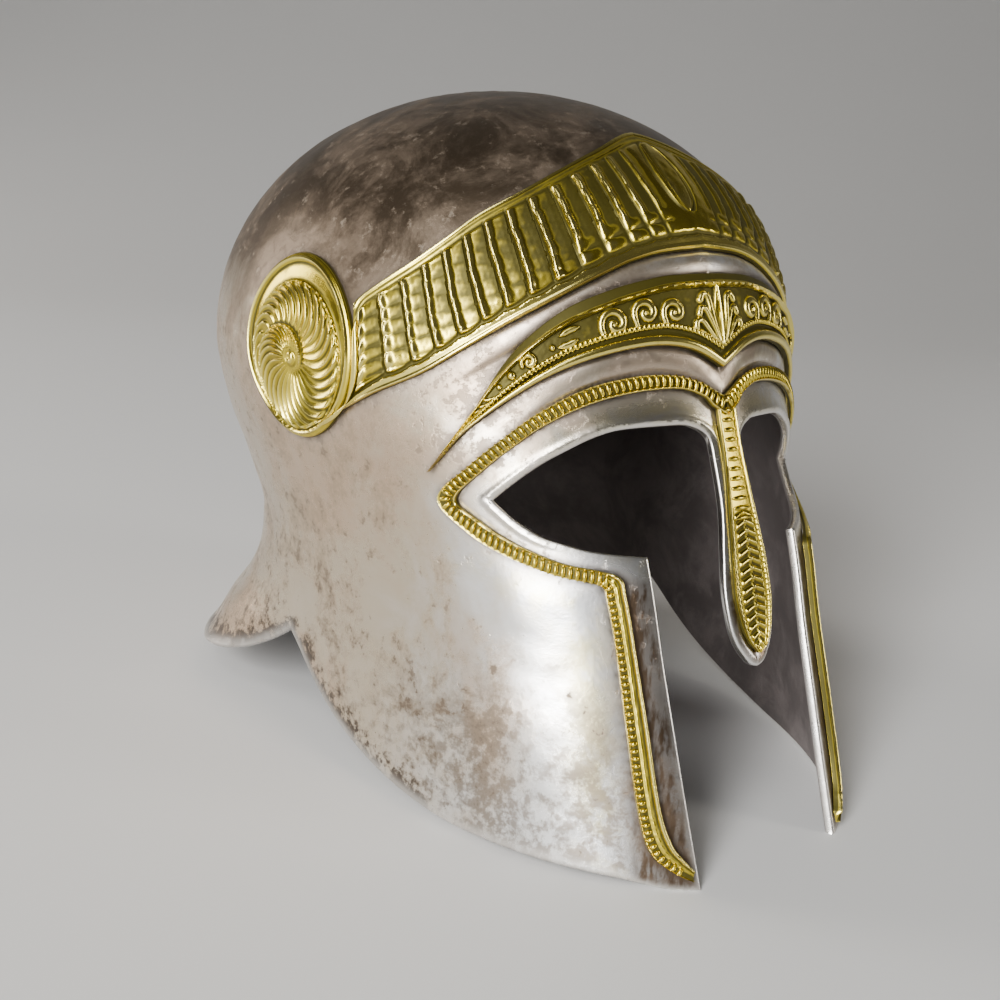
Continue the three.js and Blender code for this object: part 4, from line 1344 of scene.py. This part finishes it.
class HELMET_OT_horn_band(bpy.types.Operator):
    """Build the ribbed ram-horn band across the forehead"""

    bl_idname = "helmet.horn_band"
    bl_label = "Horn band"

    def execute(self, context):
        scene = context.scene
        along = np.linspace(0, 2 * RIB_COUNT, 2 * RIB_COUNT * 26 + 1)
        across = np.linspace(0, 1, 111)
        made = relief_plate(along, across, band_place, band_height(scene.helmet_sizes), (9, 7))
        # The flat top rail is darkened, and so is the ground between the crests, with painted shade that grows
        # toward the middle and over the upper half near the temples, away from the light
        rib, t = np.meshgrid(along, across, indexing="ij")
        middle = np.abs(RIB_COUNT - rib)
        phase = rib_phase(RIB_COUNT - middle, t)[2]
        rail = 0.35 * ease((TOP_RAIL - t) / 0.02) * ease((t - 0.03) / 0.02)
        between = ease((phase - 0.38) / 0.2) * ease((t - 0.10) / 0.03) * ease((0.86 - t) / 0.03)
        upper_half_shade = 1 - 0.6 * ease((t - 0.45) / 0.35) * ease((middle - 5) / 4)
        shade_by_place = upper_half_shade * (0.45 + 0.55 * ease((11 - middle) / 7)) * ease((middle - 1.2) / 0.6)
        add_dirt(made, rail + 0.25 * between * shade_by_place)
        band = make_mesh("horn_band_relief", *made)
        put_on(band, shared_material(antique_gilding, scene.helmet_look), "gilt_brass", "horn_band")
        return {"FINISHED"}


# Temple spirals


def spiral_height(turn, radius, ribs):
    """Rise of the disc: a lip and a bright ridge, a plain ring, and the horn wound round its boss."""
    side, up = -radius * np.cos(turn), radius * np.sin(turn) + BOSS_DROP
    r = np.hypot(side, up)
    theta = (np.degrees(np.arctan2(up, side)) - HORN_START) % 360.0 + HORN_START
    line = curve(HORN_LINE, theta)
    outer = r > line
    low = np.where(outer, line, 0.10)
    high = np.where(outer, HORN_REACH, line)
    share = np.clip((r - low) / np.maximum(high - low, 0.02), 0, 1)

    swirl = 26.0 * share ** 2 - 8.0 * np.sin(math.pi * share)
    turns = (theta - swirl) * ribs / 360.0 + 0.12 * np.sin(np.radians(3 * theta))
    phase = turns - np.floor(turns)
    rib = ease(phase / 0.34) * (1 - 0.90 * ease((phase - 0.30) / 0.70))
    rib += 0.35 * np.exp(-(((phase - 0.31) / 0.10) ** 2))
    thick = np.clip((high - low) / 0.30, 0.30, 1.0)
    crowding = ease((r - 0.08) / 0.16)
    # Each whorl stands highest along its outer edge and steps down onto the next one
    inner = np.where(outer, 0.0, ease((HORN_END - theta) / 85))
    outer_back = np.sin(0.5 * math.pi * np.clip(0.12 + 1.05 * share, 0, 1))
    back = outer_back * (1 - inner) + (0.62 + 0.38 * ease(share / 0.7)) * inner
    brink = ease((1 - share) / 0.10) ** 0.6
    horn = back * brink * (0.55 * thick + (0.28 + 0.52 * thick) * rib * crowding)
    raised = 0.62 * inner * ease((theta + 70) / 90) * thick
    ridge_line = 1.55 * np.exp(-(((r - line + 0.012) / 0.015) ** 2))
    ridge_line *= ease((theta + 50) / 60) * ease((HORN_END - 3 - theta) / 60)
    beads = 0.5 + 0.5 * np.cos(np.radians(theta * ribs * 2))
    collar = (0.80 + 0.22 * beads) * np.exp(-(((r - HORN_REACH - 0.004) / 0.015) ** 2))
    boss = 1.5 * np.exp(-((r / BOSS_RADIUS) ** 4)) - 0.6 * np.exp(-((r / 0.03) ** 2))
    on_horn = ease((HORN_REACH + 0.004 - r) / 0.02)
    wound = on_horn * np.maximum(horn + raised * ease((1 - share) / 0.05), ridge_line)
    wound = wound * ease((r - BOSS_RADIUS) / 0.03) + boss

    disc = 0.80 * ease((1.0 - radius) / 0.03)
    ring = 1.15 * np.exp(-(((radius - 0.925) / 0.024) ** 2))
    lip = ridge(radius, 0.975, 0.026, 0.30)
    hollow_ring = -0.30 * ease((0.905 - radius) / 0.02) * (1 - on_horn)
    return 0.35 + disc + lip + hollow_ring + np.maximum.reduce([wound, collar, ring * (1 - 0.4 * on_horn)])


class HELMET_OT_spirals(bpy.types.Operator):
    """Build the two ram-horn spirals at the temples"""

    bl_idname = "helmet.spirals"
    bl_label = "Temple spirals"

    def execute(self, context):
        scene = context.scene
        ribs = scene.helmet_sizes.spiral_ribs
        sectors, rings, under_rings = 720, 120, 2
        turn = np.linspace(0, 2 * math.pi, sectors, endpoint=False)

        def disc_points(radius, rise):
            t, r = np.meshgrid(turn, radius, indexing="ij")
            angle = SPIRAL_ANGLE + SPIRAL_SPREAD * r * np.cos(t)
            z = SPIRAL_LEVEL + SPIRAL_RISE * r * np.sin(t)
            return lifted(angle, z, np.broadcast_to(SEAT_GAP + rise, r.shape)).reshape(-1, 3)

        radius = np.linspace(0, 1, rings + 1)[1:]
        rise = spiral_height(*np.meshgrid(turn, radius, indexing="ij"), ribs)
        face = disc_points(radius, rise)
        under = disc_points(np.linspace(0.5, 1.0, under_rings), 0.0)
        middle_rise = float(spiral_height(np.zeros(1), np.zeros(1), ribs)[0])
        centre = np.array([[SPIRAL_ANGLE, SPIRAL_LEVEL]] * 2).T
        middle = lifted(*centre, np.array([SEAT_GAP + middle_rise, SEAT_GAP]))
        base, tail = len(face), len(face) + len(under)
        top = np.arange(base).reshape(sectors, rings)
        low = base + np.arange(len(under)).reshape(sectors, under_rings)
        top_next, low_next = np.roll(top, -1, axis=0), np.roll(low, -1, axis=0)
        quads = np.concatenate([
            np.stack([top[:, :-1], top_next[:, :-1], top_next[:, 1:], top[:, 1:]], -1).reshape(-1, 4),
            np.stack([low[:, 0], low[:, 1], low_next[:, 1], low_next[:, 0]], -1),
            np.stack([top[:, -1], top_next[:, -1], low_next[:, 1], low[:, 1]], -1),
        ])
        triangles = np.concatenate([
            np.stack([np.full(sectors, tail), top_next[:, 0], top[:, 0]], -1),
            np.stack([np.full(sectors, tail + 1), low[:, 0], low_next[:, 0]], -1),
        ])
        blank = np.zeros(len(under))
        deep = hollows(rise, 6, 4, wrap=True)
        attributes = {
            "relief": np.concatenate([rise.ravel(), blank, [middle_rise, 0.0]]),
            "hollow_and_shade": np.concatenate([deep.ravel(), blank, [0.0, 0.0]]),
        }
        made = (standing(np.concatenate([face, under, middle])), quads, triangles, attributes)
        gilt = shared_material(antique_gilding, scene.helmet_look)
        for side, piece in (("right", made), ("left", mirror_of(*made))):
            spiral = make_mesh(f"spiral_relief_{side}", *piece)
            put_on(spiral, gilt, "gilt_brass", f"horn_spiral_{side}")
        return {"FINISHED"}


# Brow plate


def brow_place(s, t):
    """Angle and height on the brow plate: s counts stations from the middle, t goes from top to bottom."""
    side = np.where(s < 0, -1.0, 1.0)
    rows = along_path(BROW_STATIONS, np.abs(s))
    angle = rows[..., 0] + (rows[..., 2] - rows[..., 0]) * t
    return side * angle, rows[..., 1] + (rows[..., 3] - rows[..., 1]) * t


def brow_layout(s):
    """The plate's width square to its run, and how far in its rim, moulding and rope lie."""
    s = np.abs(s)
    rows = along_path(BROW_STATIONS, s)
    probe, last = 0.05, len(BROW_STATIONS) - 1
    ahead = along_path(BROW_STATIONS, np.minimum(s + probe, last))
    behind = along_path(BROW_STATIONS, np.maximum(s - probe, 0))
    run = ((ahead - behind)[..., :2] + (ahead - behind)[..., 2:]) * (DRAWN_SCALE, 1.0)
    across = (rows[..., :2] - rows[..., 2:]) * (DRAWN_SCALE, 1.0)
    wide = np.abs(run[..., 0] * across[..., 1] - run[..., 1] * across[..., 0]) / np.linalg.norm(run, axis=-1)
    wide = np.maximum(wide, 0.5)
    rim = np.minimum(RIM_INSET + RIM_SPREAD * rows[..., 0], 0.27 * wide)
    return wide, rim, np.minimum(MOULDING_WIDTH, 0.17 * wide), np.minimum(ROPE_INSET, 0.29 * wide)


def brow_fullness(wide):
    """How full the plate's relief is where it is this wide."""
    return np.clip(wide / FULL_WIDTH, 0.3, 1.0)


def brow_ground(from_top, from_bottom, rim, rope):
    """Where the ground between rim and rope is."""
    return ease((from_top - rim - 0.3) / 0.5) * ease((from_bottom - rope - 0.3) / 0.5)


def brow_middle(s):
    """Middle line of the ground between rim and rope, on the flat sheet."""
    wide, rim, _, rope = brow_layout(s)
    angle, z = brow_place(s, (rim + wide - rope) / 2 / wide)
    return np.stack([angle * DRAWN_SCALE, climb_of(z)], axis=-1)


def brow_strokes(height):
    """Ornament of the brow plate, in mm on the flat sheet."""
    half = []
    for x, y, r in BROW_SCROLLS:
        tail = [(x + 0.83 * r, y - 0.6 * r), (x + 0.45 * r, y - 1.25 * r), (x - 0.55 * r, y - 1.62 * r)]
        half += [
            scroll_stroke((x, y), r, [1.05, 1.35, 1.25, 1.05], height),
            ball_stroke((x, y), 1.0, height * 0.9, run=(0.1, 0.0)),
            bent_stroke(tail, [0.95, 0.85, 0.3], height * 0.95),
        ]
    half += [bent_stroke(points, widths, height * share) for points, widths, share in FRONDS]
    # Out along the plate, on the middle line of its ground: leaves, a small scroll, two balls and a feather
    root, leaf, scroll, ball, bead = brow_middle(np.array([3.45, 4.0, 4.62, 5.0, 5.28]))
    away = (leaf - root) / np.linalg.norm(leaf - root)
    side = np.array([away[1], -away[0]])
    length = 6.6
    for offset, start in ((1.35, 1.3), (-1.25, -0.4)):
        tip = leaf + start * away + offset * side
        blade = [
            tip,
            tip - 0.5 * length * away + 0.35 * offset * side,
            tip - length * away + 0.1 * offset * side,
        ]
        half.append(bent_stroke(blade, [0.1, 1.05, 1.05, 0.1], height * 0.8))
    half += [
        ball_stroke(leaf + 2.6 * away + 0.9 * side, 0.95, height * 1.1),
        scroll_stroke(tuple(scroll), 2.4, [0.7, 1.0, 0.85], height * 1.1),
        ball_stroke(scroll, 0.7, height * 0.9),
        ball_stroke(ball, 1.3, height * 1.25),
        ball_stroke(bead, 0.8, height * 0.9),
    ]
    for station in np.linspace(5.55, 7.6, 15):
        here, there = brow_middle(np.array([station, station + 0.1]))
        run = (there - here) / np.linalg.norm(there - here)
        cross = 0.25 * float(brow_layout(station)[0]) * np.array([run[1], -run[0]])
        barb = [here + cross - 2.4 * run, here + 0.3 * run, here - cross + 1.6 * run]
        half.append(bent_stroke(barb, [0.3, 0.5, 0.3], height))
    spear = [bent_stroke(points, widths, height * share) for points, widths, share in SPEAR]
    return half + [mirrored_stroke(drawn) for drawn in half] + spear


def brow_height(sizes):
    """Rise of the brow plate's face: bevel, thin rim, ground with ornament, recess and lower moulding."""
    strokes = brow_strokes(sizes.ornament_height / MM)

    def height(s, t, angle, z):
        wide, rim, moulding, rope = brow_layout(s)
        from_top, from_bottom = t * wide, (1 - t) * wide
        x, y = angle * DRAWN_SCALE, climb_of(z)
        full = brow_fullness(wide)
        on_ground = brow_ground(from_top, from_bottom, rim, rope)
        drawn = stroke_relief(x, y, strokes) * on_ground * (0.4 + 0.6 * full)
        texture = (0.02 * wobble(x, y, 21, 1.6) + 0.03 * wobble(x, y, 22, 4.0)) * on_ground
        bevel = 0.25 + (0.55 + 1.20 * full) * np.clip(from_top / rim, 0, 1)
        sunk = ease((from_top - rim + 0.2) / 0.6)
        ground = bevel * (1 - sunk) + 0.60 * sunk
        thin_rim = ridge(from_top, rim, 0.40 + 0.3 * full, 0.5 + 0.6 * full)
        recess_half = np.maximum(0.30 * (rope - moulding), 0.2)
        recess = 0.55 * np.exp(-(((from_bottom - (moulding + rope) / 2) / recess_half) ** 2))
        lower = ridge(from_bottom, moulding / 2 + 0.05, moulding / 2 + 0.1, 0.9 + 0.6 * full)
        carried = ridge(from_bottom, rope, 0.35 + 0.4 * full, 0.6)
        edge = ease(from_top / 0.3) * ease(from_bottom / 0.3)
        return 0.3 + (0.35 + ground + drawn + texture + thin_rim - recess * full + lower + carried) * edge

    return height


class HELMET_OT_brow_plate(bpy.types.Operator):
    """Build the brow plate with its scrolls, palmette and rope"""

    bl_idname = "helmet.brow_plate"
    bl_label = "Brow plate"

    def execute(self, context):
        scene = context.scene
        sizes = scene.helmet_sizes
        gilt = shared_material(antique_gilding, scene.helmet_look)
        last = len(BROW_STATIONS) - 1
        along = np.linspace(last, -last, 1101)
        across = np.linspace(0, 1, 85)
        made = relief_plate(along, across, brow_place, brow_height(sizes), (7, 6))
        # The bevel above the rim is darkened as painted shade, as it faces up away from the light, and the
        # ground between the ornament is dark with old dirt
        s, t = np.meshgrid(along, across, indexing="ij")
        wide, rim, _, rope = brow_layout(s)
        rise = made[3]["relief"][: s.size].reshape(s.shape)
        between = brow_ground(t * wide, (1 - t) * wide, rim, rope) * ease((1.55 - rise) / 0.25)
        add_dirt(made, 0.45 * ease((rim - 0.7 - t * wide) / 0.8) + 0.25 * between)
        plate = make_mesh("brow_plate_relief", *made)
        put_on(plate, gilt, "gilt_brass", "brow_plate")

        s = np.linspace(-(last - 0.9), last - 0.9, 500)
        wide, _, _, inset = brow_layout(s)
        angle, z = brow_place(s, 1 - inset / wide)
        rope = bars_on_path("brow_rope", angle, z, 1.60, gilt, ROPE_SPACING * MM, breadth=brow_fullness(wide))
        put_on(rope, gilt, "gilt_brass", "brow_plate")
        return {"FINISHED"}


# Bars, beads and ropes along a path


def bar_tree():
    """Geometry Nodes tree that sets rounded bars along a path, each square to the surface under it."""
    name = "bars_on_path"
    if name in bpy.data.node_groups:
        return bpy.data.node_groups[name]
    tree = bpy.data.node_groups.new(name, "GeometryNodeTree")
    face = tree.interface
    face.new_socket("Geometry", in_out="INPUT", socket_type="NodeSocketGeometry")
    given_sizes = (
        ("Spacing", "DISTANCE", 2.5 * MM), ("Length", "DISTANCE", 2.0 * MM), ("Width", "DISTANCE", 0.8 * MM),
        ("Height", "DISTANCE", 0.7 * MM), ("Slant", "ANGLE", 0.0),
    )
    for label, subtype, value in given_sizes:
        socket = face.new_socket(label, in_out="INPUT", socket_type="NodeSocketFloat")
        socket.subtype = subtype
        socket.default_value = value
    face.new_socket("Finish", in_out="INPUT", socket_type="NodeSocketMaterial")
    face.new_socket("Geometry", in_out="OUTPUT", socket_type="NodeSocketGeometry")
    given = tree.nodes.new("NodeGroupInput").outputs

    def add(kind, inputs, **settings):
        """Adds a node: its settings, then the values or links of its sockets. Returns its first output."""
        made = tree.nodes.new(kind)
        for key, value in settings.items():
            setattr(made, key, value)
        for key, value in inputs.items():
            if isinstance(value, bpy.types.NodeSocket):
                tree.links.new(value, made.inputs[key])
            else:
                made.inputs[key].default_value = value
        return made.outputs[0] if made.outputs else None

    path = add("GeometryNodeMeshToCurve", {"Mesh": given["Geometry"]})
    spaced = add("GeometryNodeResampleCurve", {"Curve": path, "Length": given["Spacing"]}, mode="LENGTH")
    bar = add("GeometryNodeMeshUVSphere", {"Segments": 8, "Rings": 6, "Radius": 1.0})
    out_way = add("GeometryNodeInputNamedAttribute", {"Name": "out_way"}, data_type="FLOAT_VECTOR")
    square = add(
        "FunctionNodeAxesToRotation",
        {"Primary Axis": out_way, "Secondary Axis": add("GeometryNodeInputTangent", {})},
        primary_axis="Z", secondary_axis="X",
    )
    lean = add("FunctionNodeAxisAngleToRotation", {"Axis": (0.0, 0.0, 1.0), "Angle": given["Slant"]})
    turned = add(
        "FunctionNodeRotateRotation", {"Rotation": square, "Rotate By": lean}, rotation_space="LOCAL"
    )
    breadth = add("GeometryNodeInputNamedAttribute", {"Name": "breadth"}, data_type="FLOAT")
    length = add("ShaderNodeMath", {0: given["Length"], 1: breadth}, operation="MULTIPLY")
    size = add("ShaderNodeCombineXYZ", {"X": given["Width"], "Y": length, "Z": given["Height"]})
    placed = add(
        "GeometryNodeInstanceOnPoints", {"Points": spaced, "Instance": bar, "Rotation": turned, "Scale": size}
    )
    real = add("GeometryNodeRealizeInstances", {"Geometry": placed})
    smooth = add("GeometryNodeSetShadeSmooth", {"Geometry": real})
    marked = add(
        "GeometryNodeStoreNamedAttribute", {"Geometry": smooth, "Name": "relief", "Value": BAR_RELIEF},
        data_type="FLOAT",
    )
    coloured = add("GeometryNodeSetMaterial", {"Geometry": marked, "Material": given["Finish"]})
    add("NodeGroupOutput", {"Geometry": coloured})
    return tree


def bars_on_path(name, angle, z, rise, material, spacing, breadth=1.0, side="", turn=1.0):
    """Rounded bars of one shape along a path on the helmet, as one plain mesh. Turn -1 slants them back."""
    points = standing(lifted(angle, z, np.full(len(angle), SEAT_GAP) + rise))
    ways = standing(outward(angle, z), direction=True)
    whole_name = name + side
    mesh = bpy.data.meshes.new(whole_name + "_path")
    mesh.from_pydata(points.tolist(), [(k, k + 1) for k in range(len(points) - 1)], [])
    out_way = mesh.attributes.new("out_way", "FLOAT_VECTOR", "POINT")
    out_way.data.foreach_set("vector", ways.astype(np.float32).ravel())
    wide = mesh.attributes.new("breadth", "FLOAT", "POINT")
    wide.data.foreach_set("value", np.broadcast_to(breadth, len(points)).astype(np.float32))
    path = bpy.data.objects.new(whole_name + "_path", mesh)
    bpy.context.scene.collection.objects.link(path)

    tree = bar_tree()
    modifier = path.modifiers.new("bars", "NODES")
    modifier.node_group = tree
    sockets = {item.name: item.identifier for item in tree.interface.items_tree if item.in_out == "INPUT"}
    length, width, height, slant = BAR_SHAPES[name]
    values = {
        "Spacing": spacing, "Length": length * MM, "Width": width * MM, "Height": height * MM,
        "Slant": slant * turn, "Finish": material,
    }
    for label, value in values.items():
        modifier[sockets[label]] = value
    bpy.context.view_layer.update()
    shown = path.evaluated_get(bpy.context.evaluated_depsgraph_get())
    plain = bpy.data.meshes.new_from_object(shown)
    if len(plain.polygons) == 0:
        raise RuntimeError(f"{whole_name} came out empty")
    bpy.data.objects.remove(path)
    plain.name = whole_name
    thing = bpy.data.objects.new(whole_name, plain)
    bpy.context.scene.collection.objects.link(thing)
    return thing


# Eye trim


def trim_place(s, t):
    """Angle and height on the trim: s counts stations, t goes from its outer edge to its inner edge."""
    rows = along_path(TRIM_STATIONS, s)
    angle = rows[..., 0] + (rows[..., 2] - rows[..., 0]) * t
    return angle, rows[..., 1] + (rows[..., 3] - rows[..., 1]) * t


def trim_height(s, t, angle, z):
    """Rise of the trim's ground: thin rims, and down the cheek a flat gold strip with a strong inner rim."""
    cheek = ease((s - TRIM_CORNER) / 1.0)
    eye = ridge(t, 0.92, 0.075, 0.85) + ridge(t, 0.05, 0.05, 0.30)
    front = ridge(t, 0.88, 0.11, 1.35) + ridge(t, 0.05, 0.05, 0.55) + 0.35 * ease((t - 0.48) / 0.08)
    rough = 0.05 * wobble(angle * DRAWN_SCALE, z, 31, 1.7)
    edge = ease(t / 0.04) * ease((1 - t) / 0.04)
    return 0.3 + (0.7 + eye * (1 - cheek) + front * cheek + rough) * edge


class HELMET_OT_eye_trim(bpy.types.Operator):
    """Build the gilt trim round the eyes and down the cheeks, with its bars and beads"""

    bl_idname = "helmet.eye_trim"
    bl_label = "Eye trim"

    def execute(self, context):
        scene = context.scene
        spacing = scene.helmet_sizes.bar_spacing
        gilt = shared_material(antique_gilding, scene.helmet_look)
        along, across = np.linspace(len(TRIM_STATIONS) - 1, 0, 800), np.linspace(0, 1, 25)
        ground = relief_plate(along, across, trim_place, trim_height, (4, 3))
        # The ground between the bars is dark with old dirt
        s, t = np.meshgrid(along, across, indexing="ij")
        inner = np.where(s > TRIM_CORNER + 0.5, 0.46, 0.84)
        add_dirt(ground, 0.45 * ease((t - 0.09) / 0.06) * ease((inner - t) / 0.06))
        for side, turn in (("right", 1.0), ("left", -1.0)):
            strip = make_mesh(f"eye_trim_ground_{side}", *(ground if turn > 0 else mirror_of(*ground)))
            put_on(strip, gilt, "gilt_brass", f"eye_trim_{side}")
            for name, start, end, share, rise in TRIM_RUNS:
                angle, z = trim_place(np.linspace(start, end, 420), share)
                bars = bars_on_path(name, turn * angle, z, rise, gilt, spacing, side="_" + side, turn=turn)
                put_on(bars, gilt, "gilt_brass", f"eye_trim_{side}")
        return {"FINISHED"}


# Nasal strip


def nasal_place(z, t):
    """Angle and height on the strip: t goes from the wearer's left edge to the right one."""
    return angle_at_half_width(curve(NASAL_STRIP, z), z) * (2 * t - 1), z


def nasal_height(z, t, _angle, _z):
    """Rise of the strip: side rims, a plain ground for the ladder, and a herringbone leaf below."""
    off = np.abs(2 * t - 1)
    leaf = ease((-43 - z) / 6)
    rims = ridge(off, 0.90, 0.11, 0.9)
    inner_rim = ridge(off, 0.70, 0.06, 0.45) * leaf
    chevron = np.sin(2 * math.pi * ((z + 2.6 * off) / 2.7))
    leaves = (0.42 * chevron + 0.35) * ease((0.66 - off) / 0.1) * leaf
    spine = ridge(off, 0.0, 0.10, 0.4) * leaf
    dots = 0.25 * np.sin(2 * math.pi * z / 1.6) * np.exp(-(((off - 0.80) / 0.06) ** 2)) * leaf
    point = ease((z - NASAL_STRIP[-1][0]) / 2.0)
    edge = ease((1 - off) / 0.05)
    return 0.3 + (0.65 + (rims + inner_rim + leaves + spine + dots) * point) * edge


class HELMET_OT_nasal_strip(bpy.types.Operator):
    """Build the ladder and leaf strip down the nasal"""

    bl_idname = "helmet.nasal_strip"
    bl_label = "Nasal strip"

    def execute(self, context):
        scene = context.scene
        gilt = shared_material(antique_gilding, scene.helmet_look)
        along = np.linspace(NASAL_STRIP[0][0] + NASAL_RUN_UP, NASAL_STRIP[-1][0], 440)
        made = relief_plate(along, np.linspace(0, 1, 73), nasal_place, nasal_height, (5, 4))
        strip = make_mesh("nasal_strip_relief", *made)
        put_on(strip, gilt, "gilt_brass", "nasal_strip")
        z = np.linspace(LADDER_TOP, LADDER_FOOT, 160)
        breadth = curve(NASAL_STRIP, z) / NASAL_STRIP[0][1]
        spacing = RUNG_SPACING * MM
        rungs = bars_on_path("nasal_rungs", np.zeros(len(z)), z, 1.0, gilt, spacing, breadth=breadth)
        put_on(rungs, gilt, "gilt_brass", "nasal_strip")
        return {"FINISHED"}


# Stage


def sweep_backdrop(look):
    """Floor that curves up into a wall behind the helmet, in metres."""
    width, front, back, bend, top, steps = 9.0, -5.0, 4.6, 3.6, 6.5, 24
    profile = [(front, 0.0), (back - bend, 0.0)]
    for k in range(1, steps + 1):
        turn = math.pi / 2 * k / steps
        profile.append((back - bend + bend * math.sin(turn), bend - bend * math.cos(turn)))
    profile.append((back, top))
    points = np.array([(x, y, z) for x in (-width, width) for y, z in profile])
    count = len(profile)
    low = np.arange(count - 1)
    quads = np.stack([low, low + count, low + count + 1, low + 1], axis=-1)
    turn = Matrix.Rotation(camera_heading(), 4, "Z")
    backdrop = make_mesh("floor", points, quads, [])
    backdrop.data.transform(turn)
    backdrop.data.materials.append(pale_floor(look))


def camera_heading():
    """Turn about Z that takes +Y to the way the camera looks."""
    forward = np.cross(np.array(CAMERA_UP), np.array(CAMERA_RIGHT))
    return math.atan2(-forward[0], forward[1])


def soft_light(name, place, size, power, colour):
    """A large lamp with soft shadows, aimed at the helmet."""
    lamp = bpy.data.lights.new(name, "AREA")
    lamp.shape = "RECTANGLE"
    lamp.size, lamp.size_y = size
    lamp.energy = power
    lamp.color = colour
    thing = bpy.data.objects.new(name, lamp)
    thing.location = place
    thing.rotation_euler = (Vector(LAMP_AIM) - Vector(place)).to_track_quat("-Z", "Y").to_euler()
    bpy.context.scene.collection.objects.link(thing)


class HELMET_OT_stage(bpy.types.Operator):
    """Set the camera, the floor and the soft studio light"""

    bl_idname = "helmet.stage"
    bl_label = "Camera, floor and light"

    def execute(self, context):
        scene = context.scene
        lens = bpy.data.cameras.new("camera")
        lens.sensor_width = 36.0
        lens.lens = CAMERA_FOCAL_SHARE * lens.sensor_width
        lens.clip_start = 0.01
        camera = bpy.data.objects.new("camera", lens)
        right, up = np.array(CAMERA_RIGHT), np.array(CAMERA_UP)
        axes = np.stack([right, up, np.cross(right, up)])
        columns = standing(axes, direction=True).T
        turn = Matrix(columns.tolist()).to_4x4()
        place = standing(np.array([CAMERA_PLACE]))[0]
        camera.matrix_world = Matrix.Translation(Vector(place)) @ turn
        scene.collection.objects.link(camera)
        scene.camera = camera

        sweep_backdrop(scene.helmet_look)
        for row in LAMPS:
            soft_light(*row)

        world = bpy.data.worlds.new("studio")
        world.use_nodes = True
        ground = world.node_tree.nodes["Background"]
        ground.inputs["Color"].default_value = (*WORLD_COLOUR, 1.0)
        ground.inputs["Strength"].default_value = WORLD_STRENGTH
        scene.world = world
        return {"FINISHED"}


class HELMET_PT_panel(bpy.types.Panel):
    """Lists the helmet's pieces and what can be changed"""

    bl_idname = "HELMET_PT_panel"
    bl_label = "Greek helmet"
    bl_space_type = "VIEW_3D"
    bl_region_type = "UI"
    bl_category = "Helmet"

    def draw(self, context):
        for operator in PIECES:
            self.layout.operator(operator.bl_idname)
        for group in (context.scene.helmet_sizes, context.scene.helmet_look):
            box = self.layout.box()
            for key in group.bl_rna.properties.keys():
                if key not in {"rna_type", "name"}:
                    box.prop(group, key)


PIECES = (
    HELMET_OT_stage,
    HELMET_OT_shell,
    HELMET_OT_horn_band,
    HELMET_OT_spirals,
    HELMET_OT_brow_plate,
    HELMET_OT_eye_trim,
    HELMET_OT_nasal_strip,
)
CLASSES = (HelmetSizes, HelmetLook, *PIECES, HELMET_PT_panel)


def register():
    for cls in CLASSES:
        bpy.utils.register_class(cls)
    bpy.types.Scene.helmet_sizes = bpy.props.PointerProperty(type=HelmetSizes)
    bpy.types.Scene.helmet_look = bpy.props.PointerProperty(type=HelmetLook)


def unregister():
    del bpy.types.Scene.helmet_look
    del bpy.types.Scene.helmet_sizes
    for cls in reversed(CLASSES):
        bpy.utils.unregister_class(cls)


def main():
    register()
    bpy.ops.helmet.stage()
    bpy.ops.helmet.shell()
    bpy.ops.helmet.horn_band()
    bpy.ops.helmet.spirals()
    bpy.ops.helmet.brow_plate()
    bpy.ops.helmet.eye_trim()
    bpy.ops.helmet.nasal_strip()


if __name__ == "__main__":
    main()
